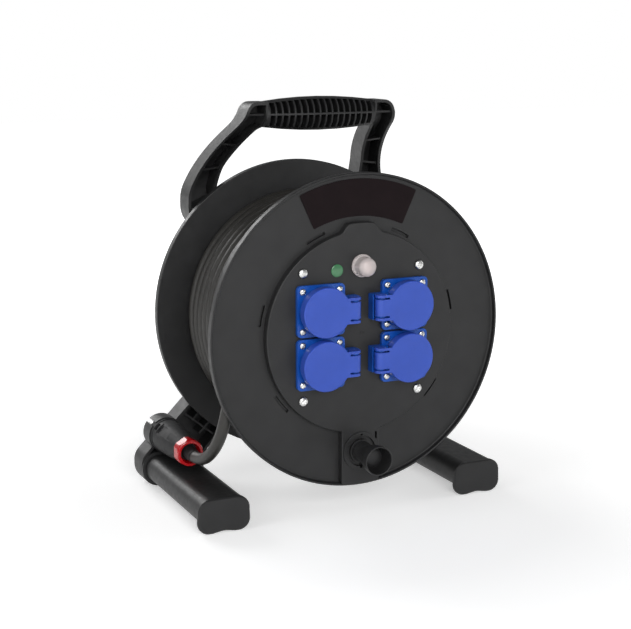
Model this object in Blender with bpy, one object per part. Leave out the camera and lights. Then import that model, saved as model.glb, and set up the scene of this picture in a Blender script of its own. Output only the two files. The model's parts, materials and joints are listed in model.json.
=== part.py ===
"""Portable extension cord reel with four lidded sockets on the drum.

The sockets face -Y, the crank knob is at the bottom of the drum at rest, +Z is up and the
floor is z = 0. Drum coordinates have their origin on the drum axis in the plane of the front
rim; every piece is parented to one empty that carries those coordinates into the world.
All sizes are in metres.
"""

import math

import bmesh
import bpy
from mathutils import Matrix, Vector

# ---------------------------------------------------------------- driving dimensions
FIT_GAP = 0.0003            # clearance between touching pieces
RUN_GAP = 0.0006            # clearance of pieces that turn or slide

# drum
AXLE_HEIGHT = 0.1857        # drum axis above the floor
FLANGE_RADIUS = 0.155
LIP_WALL = 0.0022
LIP_DEPTH = 0.005           # the flange face lies this far behind its rim
FLANGE_PLATE = 0.003
DRUM_WIDTH = 0.1617         # front rim plane to rear rim plane
OPENING_LEDGE = 0.0109      # front flange inside the barrel's skin, behind the panel
BARREL_RADIUS = 0.1059
BARREL_WALL = 0.003
HOOK_COUNT = 7
HOOK_LENGTH = 0.0181
HOOK_WALL = 0.002
SLOT_LENGTH = 0.0207
SLOT_WIDTH = 0.0028
HOOK_SETBACK = 0.0008       # hook tips lie this far under the flange face
SCREW_SETBACK = 0.0117      # panel screws inside the panel's edge
SCREW_PLACE_Z = 0.0623      # panel screw pattern, half its height
PILLAR_RADIUS = 0.0046
PILLAR_DEPTH = 0.040
PILLAR_WEB = 0.0025
REAR_RIB_COUNT = 10
REAR_RIB_WALL = 0.0022
REAR_RIB_OUTER = 0.100
REAR_RIB_HEIGHT = 0.004

# hub and axle
AXLE_RADIUS = 0.0099
AXLE_HEAD_RADIUS = 0.0155
AXLE_HEAD_DEPTH = 0.0035
BUSH_WALL = 0.0028
HUB_RADIUS = 0.0185
HUB_LENGTH = 0.0605
HUB_PROUD = 0.0028          # hub beyond the rear rim
WASHER_RADIUS = 0.0180
WASHER_THICKNESS = 0.002
NUT_FLATS = 0.024
NUT_HEIGHT = 0.009
AXLE_STUB = 0.003           # axle beyond its nut

# socket panel
PANEL_SETBACK = 0.0061      # panel's edge inside the barrel's skin
PANEL_FRONT_Y = -0.003
PANEL_WALL = 0.003
PANEL_CHAMFER = 0.0012
BUMP_HALF_WIDTH = 0.0172
BUMP_RISE = 0.0078
BUMP_FLARE = 0.011
ARM_HALF_WIDTH = 0.0205     # knob arm at 6 o'clock
ARM_END_SETBACK = 0.0015    # arm's end inside the flange's rim
ARM_SLIT_X = 0.0166
ARM_SLIT_RISE = 0.0138      # slit above the knob's axis
ARM_SLIT_LENGTH = 0.0076
ARM_SLIT_WIDTH = 0.0022
PANEL_SCREW_HEAD = 0.0045
PANEL_SCREW_RISE = 0.0024
PANEL_SCREW_SHANK = 0.0019
PANEL_SCREW_LENGTH = 0.022

# label on the flange, left bare
LABEL_GAP = 0.0052          # label's inner edge over the panel's bump
LABEL_SETBACK = 0.0062      # label's outer edge inside the flange's rim
LABEL_HALF_ANGLE = math.radians(24.8)
LABEL_THICKNESS = 0.0005

# sockets
SOCKET_X = 0.045
SOCKET_Z = 0.026
SOCKET_PLATE = 0.050
SOCKET_PLATE_THICK = 0.004
SOCKET_PLATE_CORNER = 0.0045
SOCKET_COLLAR_RADIUS = 0.0224
SOCKET_COLLAR_FRONT_Y = -0.0203
SOCKET_WELL_RADIUS = 0.0195
SOCKET_BODY_RADIUS = 0.0208
SOCKET_BODY_REAR_Y = 0.022
SOCKET_BODY_FLOOR = 0.003
INSERT_FRONT_Y = -0.0028
INSERT_REAR_Y = 0.016
CONTACT_PITCH = 0.019
CONTACT_HOLE_RADIUS = 0.0026
CONTACT_HOLE_DEPTH = 0.015
EARTH_NOTCH_WIDTH = 0.006
EARTH_NOTCH_DEPTH = 0.0022

# socket lids
LID_RADIUS = 0.0244
LID_FRONT_Y = -0.022
LID_SKIN = 0.0014
LID_SKIRT_REAR_Y = -0.0132
LID_SKIRT_WALL = 0.0014
HINGE_OFFSET = 0.031        # pin axis from the socket's centre line, towards the panel centre
HINGE_PIN_Y = -0.016
HINGE_PIN_RADIUS = 0.0012
KNUCKLE_RADIUS = 0.006
KNUCKLE_HALF_WIDTH = 0.0125
EAR_Z = 0.009
EAR_WALL = 0.0013
EAR_RADIUS = 0.0046
EAR_SLOT_LENGTH = 0.014
HINGE_BLOCK_REACH = 0.0068  # hinge block beyond the pin axis
HINGE_BLOCK_FRONT_Y = -0.0128

# pilot lamp and thermal cut-out
LAMP_X = -0.0267
LAMP_Z = 0.0626
LAMP_RADIUS = 0.00625
LAMP_RISE = 0.0012
LAMP_NECK_RADIUS = 0.0052
LAMP_REAR_Y = 0.014
BREAKER_Z = 0.0657
BOOT_BASE_RADIUS = 0.0112
BOOT_BASE_THICK = 0.0022
BOOT_RADIUS = 0.0092
BOOT_WALL = 0.0009
BOOT_TIP_Y = -0.0200
BREAKER_NECK_RADIUS = 0.0074
BREAKER_NECK_FRONT_Y = -0.0085
BREAKER_BODY_WIDTH = 0.030
BREAKER_BODY_HEIGHT = 0.014
BREAKER_BODY_REAR_Y = 0.034
BUTTON_RADIUS = 0.0056
BUTTON_FRONT_Y = -0.0160
BUTTON_REAR_Y = 0.004
BUTTON_TRAVEL = 0.0025
BUTTON_EDGE = 0.0006

# crank knob
KNOB_SETBACK = 0.036        # knob's axis inside the flange's rim
KNOB_TIP_Y = -0.043
KNOB_TIP_RADIUS = 0.0144
KNOB_WAIST_RADIUS = 0.0098
KNOB_BASE_RADIUS = 0.0106
KNOB_CUP_RADIUS = 0.0116
KNOB_CUP_DEPTH = 0.017
SEAT_RADIUS = 0.0192
SEAT_RISE = 0.0012
SEAT_GROOVE_OUTER = 0.0155
SEAT_GROOVE_INNER = 0.0120
SEAT_GROOVE_DEPTH = 0.0032
SEAT_NECK_RADIUS = 0.0170
SEAT_NOTCH_WIDTH = 0.0026
KNOB_SCREW_RADIUS = 0.0039
KNOB_SCREW_HEAD = 0.0072
KNOB_SCREW_HEAD_THICK = 0.0032
KNOB_SCREW_REAR_Y = 0.0030

# contact chamber behind the panel
CHAMBER_RADIUS = 0.0825
CHAMBER_WALL = 0.0025
CHAMBER_REAR_Y = 0.058
CHAMBER_GLAND_RADIUS = 0.0085
CHAMBER_GLAND_LENGTH = 0.016
CHAMBER_GLAND_X = 0.050

# cord
CORD_DIAMETER = 0.0118
WINDING_GAP = 0.0005        # air between neighbouring turns
WINDING_END_GAP = 0.0009    # air between the end turns and the flanges
INNER_LAYER = 0.0066        # packed depth of the layer under the outer one
LOOP_POINTS = 24
LIFT_OFF_ANGLE = math.radians(170)      # the cord leaves the winding here in a straight run
LIFT_GAP = 0.0009           # air under the cord's straight run when it meets the free cord

# carrying frame
FRAME_SPACE = 0.0083        # rear rim of the drum to the frame
FRAME_DEPTH = 0.026
FRAME_WALL = 0.003
FRAME_RIB = 0.002
FRAME_RIB_SETBACK = 0.004
BAR_TOP_Z = 0.2185
BAR_HEIGHT = 0.025
HANDLE_TOP_X = 0.0776
HANDLE_INNER_X = 0.062
SHOULDER_X = 0.113
SHOULDER_TOP_Z = 0.122
ARM_WIDTH = 0.036           # breadth of each slanting arm, square to its length
WAIST_X = 0.016             # where the outer lines of arm and leg would meet
ELBOW_X = 0.079
ELBOW_Z = 0.150
ELBOW_LOW_X = 0.0835
HOLE_TOP_RADIUS = 0.008
LEG_HUB_Z = -0.055          # where the inner lines of the legs would meet
FOOT_OUTER_X = 0.170
FOOT_INNER_X = 0.104
FOOT_LEG_INNER_X = 0.098    # inner corner of the leg above its foot
LEG_ARCH_RADIUS = 0.030
HANDLE_CORNER = 0.012
SHOULDER_CORNER = 0.050
SHOULDER_LOW_CORNER = 0.025
WAIST_CORNER = 0.050
FOOT_TOP_CORNER = 0.018
FOOT_OUTER_CORNER = 0.020
FOOT_INNER_CORNER = 0.012
LEG_INNER_CORNER = 0.010
HOLE_ELBOW_RADIUS = 0.040
HOLE_SIDE_RADIUS = 0.020
HOLE_FLOOR_RADIUS = 0.025
LEG_RIB_OFFSET = -0.008     # x plus z along the leg's outer long rib
LEG_RIB_X = (0.026, 0.112)
LEG_LOW_RIB_X = (0.010, 0.104)
ARM_RIB_X = (0.018, 0.090)
ANKLE_RIB = ((0.124, -0.108), (0.083, -0.142))
SHOULDER_RIB = ((0.113, 0.104), (0.078, 0.121))
ELBOW_RIB = ((0.106, 0.146), (0.074, 0.150))
WRIST_RIB = ((0.096, 0.176), (0.064, 0.172))
FRAME_HUB_RADIUS = 0.030
FRAME_HUB_GAP = 0.001       # drum's hub to the frame's hub

# the arms lean forward from here to carry the bar over the drum
LEAN_START_Z = 0.118
LEAN_KNEE_Z = 0.193         # the lean is steepest here
LEAN_END_Z = 0.210
HANDLE_FORWARD = 0.084
LEAN_STEPS = 5

# grip on the bar
GRIP_HALF_LENGTH = 0.0600
GRIP_HALF_HEIGHT = 0.0172
GRIP_HALF_DEPTH = 0.0160
GRIP_END_SHRINK = 0.76      # size of the grip's ends against its middle
GRIP_WALL = 0.0028
GRIP_FINS = 16
GRIP_FIN_WALL = 0.0017
GRIP_RIB_WALL = 0.0018

# feet
FOOT_X = 0.1407
TUBE_WIDTH = 0.0515
TUBE_HEIGHT = 0.0275
TUBE_CORNER = 0.0130
TUBE_WALL = 0.002
TUBE_CENTRE_Z = -0.16525
TUBE_FRONT_Y = 0.0115
COLLAR_PROUD = 0.003        # collar in front of the frame's face
COLLAR_WALL = 0.0032
CAP_WIDTH = 0.0546
CAP_TOP_Z = -0.1512
CAP_CORNER = 0.0115
CAP_TOP_CORNER = 0.0126
CAP_WAIST = 0.0008          # slight hollow of the cap's sides
CAP_PLATE = 0.0044
CAP_PLUG_DEPTH = 0.010
CAP_DIP = 0.0020            # hollow of the cap's lower edge
CAP_DIP_CORNER = 0.020
CAP_WAIST_CORNER = 0.010
CAP_LOBE_END = 0.0115       # where each lobe leaves the floor, from the cap's middle
CAP_LOBE_CORNER = 0.004
CAP_EDGE = 0.0012           # bevel round the cap's face
FOOT_SCREW_RADIUS = 0.0019
FOOT_SCREW_HEAD = 0.0038
FOOT_SCREW_HEAD_THICK = 0.0022
FOOT_SCREW_INSET = 0.011    # behind the frame's face
FOOT_SCREW_RECESS = 0.0032
FOOT_SCREW_LENGTH = 0.014

# plug parked in the C-ring of the left leg
PLUG_X = -0.1463
PLUG_Z = -0.1274
HOLDER_PROUD = 0.0115       # plug clip in front of the frame's face
HOLDER_SEAT = 0.008         # plug clip behind the frame's face
HOLDER_RADIUS = 0.0187
HOLDER_WALL = 0.0022
HOLDER_SLIT = 0.0044
CARRIER_NECK = 0.0111       # carrier inside the clip
CARRIER_FLANGE_RADIUS = 0.0176
CARRIER_FLANGE_THICK = 0.0040
PLUG_BODY_LENGTH = 0.057
PLUG_BODY_FRONT_RADIUS = 0.0132
PLUG_BODY_REAR_RADIUS = 0.0170
PIN_RADIUS = 0.0024
PIN_LENGTH = 0.019
PIN_SEAT = 0.006
PIN_LINE = math.radians(135)    # direction from one pin to the other, seen from the front
GLAND_NUT_FLATS = 0.0265
GLAND_NUT_LENGTH = 0.013
GLAND_NUT_RIM = 0.0128
GLAND_BORE = 0.0088
GLAND_NUT_CHAMFER = 0.0015
GLAND_NUT_FLOOR = 0.003
GLAND_INSERT_SETBACK = -0.0012
PLUG_SCREW_HEAD = 0.0027
PLUG_SCREW_OFFSET = 0.0118
PLUG_NOTCH_LENGTH = 0.006
PLUG_NOTCH_WIDTH = 0.0075
PLUG_BADGE_LENGTH = 0.025
PLUG_BADGE_WIDTH = 0.010
PLUG_BADGE_DEPTH = 0.0006
PLUG_BADGE_FLAT = 0.0016    # flat behind the badge, below the body's widest radius

# ---------------------------------------------------------------- derived places
FLANGE_BACK_Y = LIP_DEPTH + FLANGE_PLATE
FLANGE_OPENING = BARREL_RADIUS - OPENING_LEDGE
PANEL_RADIUS = BARREL_RADIUS - PANEL_SETBACK
ARM_END_RADIUS = FLANGE_RADIUS - ARM_END_SETBACK
LABEL_OUTER = FLANGE_RADIUS - LABEL_SETBACK
LABEL_INNER = PANEL_RADIUS + BUMP_RISE + LABEL_GAP
SCREW_PLACE_X = math.sqrt((PANEL_RADIUS - SCREW_SETBACK) ** 2 - SCREW_PLACE_Z ** 2)
KNOB_Z = KNOB_SETBACK - FLANGE_RADIUS
ARM_SLIT_Z = KNOB_Z + ARM_SLIT_RISE
REAR_FLANGE_FRONT_Y = DRUM_WIDTH - FLANGE_BACK_Y
REAR_PLATE_Y = DRUM_WIDTH - LIP_DEPTH
HOOK_RADIUS = BARREL_RADIUS - BARREL_WALL / 2
HUB_REAR_Y = DRUM_WIDTH + HUB_PROUD
HUB_FRONT_Y = HUB_REAR_Y - HUB_LENGTH
FRAME_HUB_FRONT_Y = HUB_REAR_Y + FRAME_HUB_GAP
FRAME_FRONT_Y = DRUM_WIDTH + FRAME_SPACE
FRAME_REAR_Y = FRAME_FRONT_Y + FRAME_DEPTH
COLLAR_FRONT_Y = FRAME_FRONT_Y - COLLAR_PROUD
FOOT_SCREW_Y = FRAME_FRONT_Y + FOOT_SCREW_INSET
HOLDER_FRONT_Y = FRAME_FRONT_Y - HOLDER_PROUD
HOLDER_REAR_Y = FRAME_FRONT_Y + HOLDER_SEAT
CARRIER_REAR_Y = HOLDER_FRONT_Y + CARRIER_NECK
FLOOR_Z = -AXLE_HEIGHT
HOLE_FLOOR_Z = ARM_WIDTH * math.sqrt(2) - WAIST_X
BAR_CENTRE_Z = BAR_TOP_Z - BAR_HEIGHT / 2
BAR_CENTRE_Y = FRAME_FRONT_Y + FRAME_DEPTH / 2 - HANDLE_FORWARD
WINDING_CLEARANCE = 2 * FIT_GAP + CORD_DIAMETER / 2
WINDING_RADIUS = (BARREL_RADIUS + INNER_LAYER + WINDING_CLEARANCE) / math.cos(math.pi / LOOP_POINTS)
WINDING_FRONT_Y = FLANGE_BACK_Y + WINDING_END_GAP + CORD_DIAMETER / 2
WINDING_REAR_Y = REAR_FLANGE_FRONT_Y - WINDING_END_GAP - CORD_DIAMETER / 2
WINDING_PITCH = CORD_DIAMETER + WINDING_GAP
WINDING_TURNS = (WINDING_REAR_Y - WINDING_FRONT_Y) / WINDING_PITCH
LIFTED_RADIUS = WINDING_RADIUS + CORD_DIAMETER + LIFT_GAP
LIFT_ANGLE = math.acos(WINDING_RADIUS / LIFTED_RADIUS)
CARRIER_FRONT_Y = HOLDER_FRONT_Y - FIT_GAP - CARRIER_FLANGE_THICK
PLUG_BODY_REAR_Y = CARRIER_FRONT_Y - FIT_GAP
PLUG_BODY_FRONT_Y = PLUG_BODY_REAR_Y - PLUG_BODY_LENGTH
GLAND_NUT_FRONT_Y = PLUG_BODY_FRONT_Y - FIT_GAP - GLAND_NUT_LENGTH
ORIGIN_Y = -(FRAME_REAR_Y + KNOB_TIP_Y) / 2

# ---------------------------------------------------------------- modelling tools
ROUND_LARGE = 44            # segments of drum-size circles
ROUND_MIDDLE = 18
ROUND_BUTTON = 14
ROUND_SMALL = 9
REACH = 0.001               # cutters pass this far beyond what they cut
SAME_POINT = 0.000001
FLAT_ANGLE = math.radians(0.05)


def new_object(name, shape):
    """Link an object made from a finished bmesh."""
    bmesh.ops.remove_doubles(shape, verts=shape.verts, dist=SAME_POINT)
    bmesh.ops.recalc_face_normals(shape, faces=shape.faces)
    mesh = bpy.data.meshes.new(name)
    shape.to_mesh(mesh)
    shape.free()
    body = bpy.data.objects.new(name, mesh)
    bpy.context.scene.collection.objects.link(body)
    return body


def skin(name, rings, cyclic=False, place=None):
    """Join rings of equal length; a ring of one point closes to a tip."""
    shape = bmesh.new()
    loops = [[shape.verts.new(point) for point in ring] for ring in rings]
    pairs = list(zip(loops, loops[1:]))
    if cyclic:
        pairs.append((loops[-1], loops[0]))
    for near, far in pairs:
        count = max(len(near), len(far))
        if len(near) == 1 and len(far) == 1:
            continue
        for step in range(count):
            corners = [near[step % len(near)], near[(step + 1) % len(near)]]
            corners += [far[(step + 1) % len(far)], far[step % len(far)]]
            shape.faces.new(list(dict.fromkeys(corners)))
    if not cyclic:
        for loop in (loops[0], loops[-1]):
            if len(loop) > 2:
                shape.faces.new(loop)
    if place:
        shape.transform(place)
    return new_object(name, shape)


def circle(radius, y, segments, centre=(0.0, 0.0)):
    """Points of a circle about the Y direction."""
    points = []
    for step in range(segments):
        angle = 2 * math.pi * (step + 0.5) / segments
        x = centre[0] + radius * math.cos(angle)
        z = centre[1] + radius * math.sin(angle)
        points.append((x, y, z))
    return points


def turned(name, profile, segments=ROUND_SMALL, centre=(0.0, 0.0), place=None):
    """Body turned about the Y direction from a closed profile of (radius, y) points."""
    rings = []
    for radius, y in profile:
        if radius:
            rings.append(circle(radius, y, segments, centre))
        else:
            rings.append([(centre[0], y, centre[1])])
    return skin(name, rings, True, place)


def rod(name, radius, front, rear, segments=ROUND_SMALL, centre=(0.0, 0.0), place=None):
    profile = ((0, front), (radius, front), (radius, rear), (0, rear))
    return turned(name, profile, segments, centre, place)


def prism(name, outline, front, rear, place=None):
    """Outline of (x, z) points carried from one y to another."""
    rings = [[(x, y, z) for x, z in outline] for y in (front, rear)]
    return skin(name, rings, False, place)


def block(name, x_range, y_range, z_range):
    outline = [(x_range[0], z_range[0]), (x_range[1], z_range[0])]
    outline += [(x_range[1], z_range[1]), (x_range[0], z_range[1])]
    return prism(name, outline, y_range[0], y_range[1])


def bar(name, start, end, width, front, rear):
    """Straight rib between two (x, z) points."""
    first = Vector(start)
    along = (Vector(end) - first).normalized()
    side = Vector((-along.y, along.x)) * width / 2
    last = Vector(end)
    outline = [first - side, last - side, last + side, first + side]
    return prism(name, outline, front, rear)


def rounded(corners, step_angle=math.radians(27)):
    """Outline through (x, z, radius) corners, with each corner turned into an arc."""
    points = []
    count = len(corners)
    for index, (x, z, radius) in enumerate(corners):
        corner = Vector((x, z))
        before = (Vector(corners[index - 1][:2]) - corner).normalized()
        after = (Vector(corners[(index + 1) % count][:2]) - corner).normalized()
        opening = before.angle(after)
        if radius == 0 or opening > math.radians(176):
            points.append((x, z))
            continue
        centre = corner + (before + after).normalized() * radius / math.sin(opening / 2)
        start = corner + before * radius / math.tan(opening / 2) - centre
        turn = math.pi - opening
        if before.x * after.y - before.y * after.x > 0:
            turn = -turn
        steps = max(1, round(abs(turn) / step_angle))
        for step in range(steps + 1):
            angle = turn * step / steps
            dx = start.x * math.cos(angle) - start.y * math.sin(angle)
            dz = start.x * math.sin(angle) + start.y * math.cos(angle)
            points.append((centre.x + dx, centre.y + dz))
    return points


def grown(outline, distance):
    """Counter-clockwise outline moved outwards by a distance, or inwards if negative."""
    moved = []
    count = len(outline)
    for index in range(count):
        here = Vector(outline[index])
        before = (here - Vector(outline[index - 1])).normalized()
        after = (Vector(outline[(index + 1) % count]) - here).normalized()
        normal = Vector((before.y, -before.x)) + Vector((after.y, -after.x))
        normal.normalize()
        stretch = distance / max(0.3, normal.dot(Vector((before.y, -before.x))))
        moved.append(tuple(here + normal * stretch))
    return moved


def mirrored(half):
    """Closed outline from a right half that runs from top to bottom, counter-clockwise."""
    left = [(-x, z, radius) for x, z, radius in half if x > 0]
    return left + [corner for corner in reversed(half)]


def box_outline(width, height, radius, centre=(0.0, 0.0)):
    left, right = centre[0] - width / 2, centre[0] + width / 2
    low, high = centre[1] - height / 2, centre[1] + height / 2
    corners = ((left, low), (right, low), (right, high), (left, high))
    return rounded([(x, z, radius) for x, z in corners], math.radians(30))


def sector(inner, outer, angle, half_angle, steps=2):
    """Outline of a piece of a ring about the drum axis."""
    sweep = [angle + half_angle * (2 * step / steps - 1) for step in range(steps + 1)]
    points = [(outer * math.cos(turn), outer * math.sin(turn)) for turn in sweep]
    points += [(inner * math.cos(turn), inner * math.sin(turn)) for turn in reversed(sweep)]
    return points


def combine(target, tools, operation):
    """Apply one Boolean with several bodies and drop those bodies."""
    group = bpy.data.collections.new("boolean tools")
    for tool in tools:
        group.objects.link(tool)
    modifier = target.modifiers.new("combine", "BOOLEAN")
    modifier.operation = operation
    modifier.solver = "EXACT"
    modifier.operand_type = "COLLECTION"
    modifier.collection = group
    graph = bpy.context.evaluated_depsgraph_get()
    target.data = bpy.data.meshes.new_from_object(target.evaluated_get(graph))
    target.modifiers.clear()
    for tool in tools:
        bpy.data.objects.remove(tool)
    bpy.data.collections.remove(group)
    merge_flat_faces(target.data)
    return target


def merge_flat_faces(mesh):
    """Join the coplanar facets that a Boolean leaves."""
    shape = bmesh.new()
    shape.from_mesh(mesh)
    bmesh.ops.remove_doubles(shape, verts=shape.verts, dist=SAME_POINT)
    bmesh.ops.dissolve_limit(shape, angle_limit=FLAT_ANGLE, verts=shape.verts, edges=shape.edges)
    shape.to_mesh(mesh)
    shape.free()


def join(target, tools):
    return combine(target, tools, "UNION")


def carve(target, tools):
    return combine(target, tools, "DIFFERENCE")


def finish(body, name, look, parent, smooth=math.radians(32)):
    """Give a finished body its name, its material and its place in the assembly."""
    body.name = name
    body.data.name = name
    body.data.materials.clear()
    body.data.materials.append(look)
    body.data.shade_smooth()
    body.data.set_sharp_from_angle(angle=smooth)
    body.parent = parent
    return body


def copy_of(body, name, parent, location, turn=0.0):
    """Another object with the same mesh, turned about Y."""
    twin = bpy.data.objects.new(name, body.data)
    bpy.context.scene.collection.objects.link(twin)
    twin.parent = parent
    twin.location = location
    twin.rotation_euler = (0.0, turn, 0.0)
    return twin


def material(name, colour, roughness, metallic=0.0):
    look = bpy.data.materials.new(name)
    look.use_nodes = True
    shader = look.node_tree.nodes["Principled BSDF"]
    shader.inputs["Base Color"].default_value = (*colour, 1.0)
    shader.inputs["Roughness"].default_value = roughness
    shader.inputs["Metallic"].default_value = metallic
    look.diffuse_color = (*colour, 1.0)
    return look


# ---------------------------------------------------------------- drum
HOOK_ANGLES = [math.radians(270) + 2 * math.pi * n / HOOK_COUNT for n in range(HOOK_COUNT)]
SCREW_PLACES = [(x, z) for x in (-SCREW_PLACE_X, SCREW_PLACE_X)
                for z in (SCREW_PLACE_Z, -SCREW_PLACE_Z)]


def hook_slots(front, rear):
    """Cutters for the slots that the barrel's hooks snap into."""
    half_angle = SLOT_LENGTH / 2 / HOOK_RADIUS
    cutters = []
    for angle in HOOK_ANGLES:
        outline = sector(HOOK_RADIUS - SLOT_WIDTH / 2, HOOK_RADIUS + SLOT_WIDTH / 2, angle, half_angle)
        cutters.append(prism("slot", outline, front - REACH, rear + REACH))
    return cutters


def make_front_flange(look, parent):
    lip_inner = FLANGE_RADIUS - LIP_WALL
    profile = ((FLANGE_OPENING, LIP_DEPTH), (lip_inner, LIP_DEPTH), (lip_inner, 0.0),
               (FLANGE_RADIUS, 0.0), (FLANGE_RADIUS, FLANGE_BACK_Y), (FLANGE_OPENING, FLANGE_BACK_Y))
    body = turned("flange", profile, ROUND_LARGE)
    carve(body, hook_slots(LIP_DEPTH, FLANGE_BACK_Y))
    finish(body, "front_flange", look, parent)


def make_rear_flange(look, parent):
    lip_inner = FLANGE_RADIUS - LIP_WALL
    bore = BUSH_OUTER + FIT_GAP
    inner = (bore + HUB_RADIUS) / 2
    profile = ((inner, REAR_FLANGE_FRONT_Y), (FLANGE_RADIUS, REAR_FLANGE_FRONT_Y),
               (FLANGE_RADIUS, DRUM_WIDTH), (lip_inner, DRUM_WIDTH), (lip_inner, REAR_PLATE_Y),
               (inner, REAR_PLATE_Y))
    body = turned("flange", profile, ROUND_LARGE)
    profile = ((bore, HUB_FRONT_Y), (HUB_RADIUS, HUB_FRONT_Y), (HUB_RADIUS, HUB_REAR_Y), (bore, HUB_REAR_Y))
    ribs = [turned("hub", profile, ROUND_MIDDLE)]
    for step in range(REAR_RIB_COUNT):
        angle = 2 * math.pi * (step + 0.5) / REAR_RIB_COUNT
        way = (math.cos(angle), math.sin(angle))
        start = [(HUB_RADIUS - REACH) * part for part in way]
        end = [REAR_RIB_OUTER * part for part in way]
        rear = REAR_PLATE_Y + REAR_RIB_HEIGHT
        ribs.append(bar("rib", start, end, REAR_RIB_WALL, REAR_PLATE_Y - REACH, rear))
    join(body, ribs)
    carve(body, hook_slots(REAR_FLANGE_FRONT_Y, REAR_PLATE_Y))
    finish(body, "rear_flange", look, parent)


def make_barrel(look, parent):
    inner = BARREL_RADIUS - BARREL_WALL
    front = FLANGE_BACK_Y + FIT_GAP
    rear = REAR_FLANGE_FRONT_Y - FIT_GAP
    profile = ((inner, front), (BARREL_RADIUS, front), (BARREL_RADIUS, rear), (inner, rear))
    body = turned("barrel", profile, ROUND_LARGE)
    additions = []
    half_angle = HOOK_LENGTH / 2 / HOOK_RADIUS
    for angle in HOOK_ANGLES:
        outline = sector(HOOK_RADIUS - HOOK_WALL / 2, HOOK_RADIUS + HOOK_WALL / 2, angle, half_angle)
        additions.append(prism("hook", outline, LIP_DEPTH + HOOK_SETBACK, front + REACH))
        additions.append(prism("hook", outline, rear - REACH, REAR_PLATE_Y - HOOK_SETBACK))
    for x, z in SCREW_PLACES:
        additions.append(rod("pillar", PILLAR_RADIUS, FIT_GAP, PILLAR_DEPTH, ROUND_SMALL, (x, z)))
        way = Vector((x, z)).normalized()
        start = Vector((x, z))
        end = way * (BARREL_RADIUS - BARREL_WALL / 2)
        additions.append(bar("web", start, end, PILLAR_WEB, front, PILLAR_DEPTH - REACH))
    join(body, additions)
    bore = PANEL_SCREW_SHANK + FIT_GAP
    drills = []
    for x, z in SCREW_PLACES:
        end = PANEL_FRONT_Y + PANEL_SCREW_LENGTH + REACH
        drills.append(rod("drill", bore, -REACH, end, 8, (x, z)))
    carve(body, drills)
    finish(body, "drum_barrel", look, parent)


BUSH_INNER = AXLE_RADIUS + RUN_GAP
BUSH_OUTER = BUSH_INNER + BUSH_WALL
WASHER_REAR_Y = HUB_FRONT_Y - RUN_GAP
NUT_REAR_Y = WASHER_REAR_Y - WASHER_THICKNESS - FIT_GAP
HEAD_SEAT_Y = FRAME_REAR_Y - AXLE_HEAD_DEPTH - 2 * FIT_GAP - REACH


def make_axle(look, parent):
    front = NUT_REAR_Y - NUT_HEIGHT - AXLE_STUB
    seat = HEAD_SEAT_Y + FIT_GAP
    profile = ((0, front), (AXLE_RADIUS, front), (AXLE_RADIUS, seat), (AXLE_HEAD_RADIUS, seat),
               (AXLE_HEAD_RADIUS, seat + AXLE_HEAD_DEPTH), (0, seat + AXLE_HEAD_DEPTH))
    finish(turned("axle", profile, ROUND_MIDDLE), "axle", look, parent)


def make_axle_fittings(steel, bush_look, parent, drum):
    bore = AXLE_RADIUS + FIT_GAP
    front = WASHER_REAR_Y - WASHER_THICKNESS
    profile = ((bore, front), (WASHER_RADIUS, front), (WASHER_RADIUS, WASHER_REAR_Y), (bore, WASHER_REAR_Y))
    finish(turned("washer", profile, ROUND_MIDDLE), "axle_washer", steel, parent)
    across = NUT_FLATS / 2 / math.cos(math.pi / 6)
    front = NUT_REAR_Y - NUT_HEIGHT
    nut = rod("nut", across, front, NUT_REAR_Y, 6)
    carve(nut, [rod("bore", bore, front - REACH, NUT_REAR_Y + REACH, ROUND_MIDDLE)])
    finish(nut, "axle_nut", steel, parent)
    profile = ((BUSH_INNER, HUB_FRONT_Y), (BUSH_OUTER, HUB_FRONT_Y), (BUSH_OUTER, HUB_REAR_Y),
               (BUSH_INNER, HUB_REAR_Y))
    finish(turned("bush", profile, ROUND_MIDDLE), "hub_bush", bush_look, drum)


# ---------------------------------------------------------------- panel on the drum
def bump_rise(angle):
    """Height of the 12 o'clock bump over the round edge of the panel."""
    across = abs(PANEL_RADIUS * math.cos(angle))
    if math.sin(angle) < 0 or across > BUMP_HALF_WIDTH + BUMP_FLARE / 2:
        return 0.0
    share = (BUMP_HALF_WIDTH + BUMP_FLARE / 2 - across) / BUMP_FLARE
    share = max(0.0, min(1.0, share))
    return BUMP_RISE * share * share * (3 - 2 * share)


def panel_outline(arm_end):
    """Round cover with a bump at the top and the knob arm at the bottom."""
    gap = math.asin(ARM_HALF_WIDTH / PANEL_RADIUS)
    first, last = -math.pi / 2 + gap, math.pi * 3 / 2 - gap
    corners = []
    steps = ROUND_LARGE - 4
    for step in range(steps + 1):
        angle = first + (last - first) * step / steps
        radius = PANEL_RADIUS + bump_rise(angle)
        corners.append((radius * math.cos(angle), radius * math.sin(angle), 0))
    half = math.asin(ARM_HALF_WIDTH / arm_end)
    end_steps = 4
    for step in range(end_steps + 1):
        angle = -math.pi / 2 + half * (2 * step / end_steps - 1)
        radius = PANEL_WALL + PANEL_CHAMFER if step in (0, end_steps) else 0
        corners.append((arm_end * math.cos(angle), arm_end * math.sin(angle), radius))
    return rounded(corners, math.radians(30))


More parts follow.
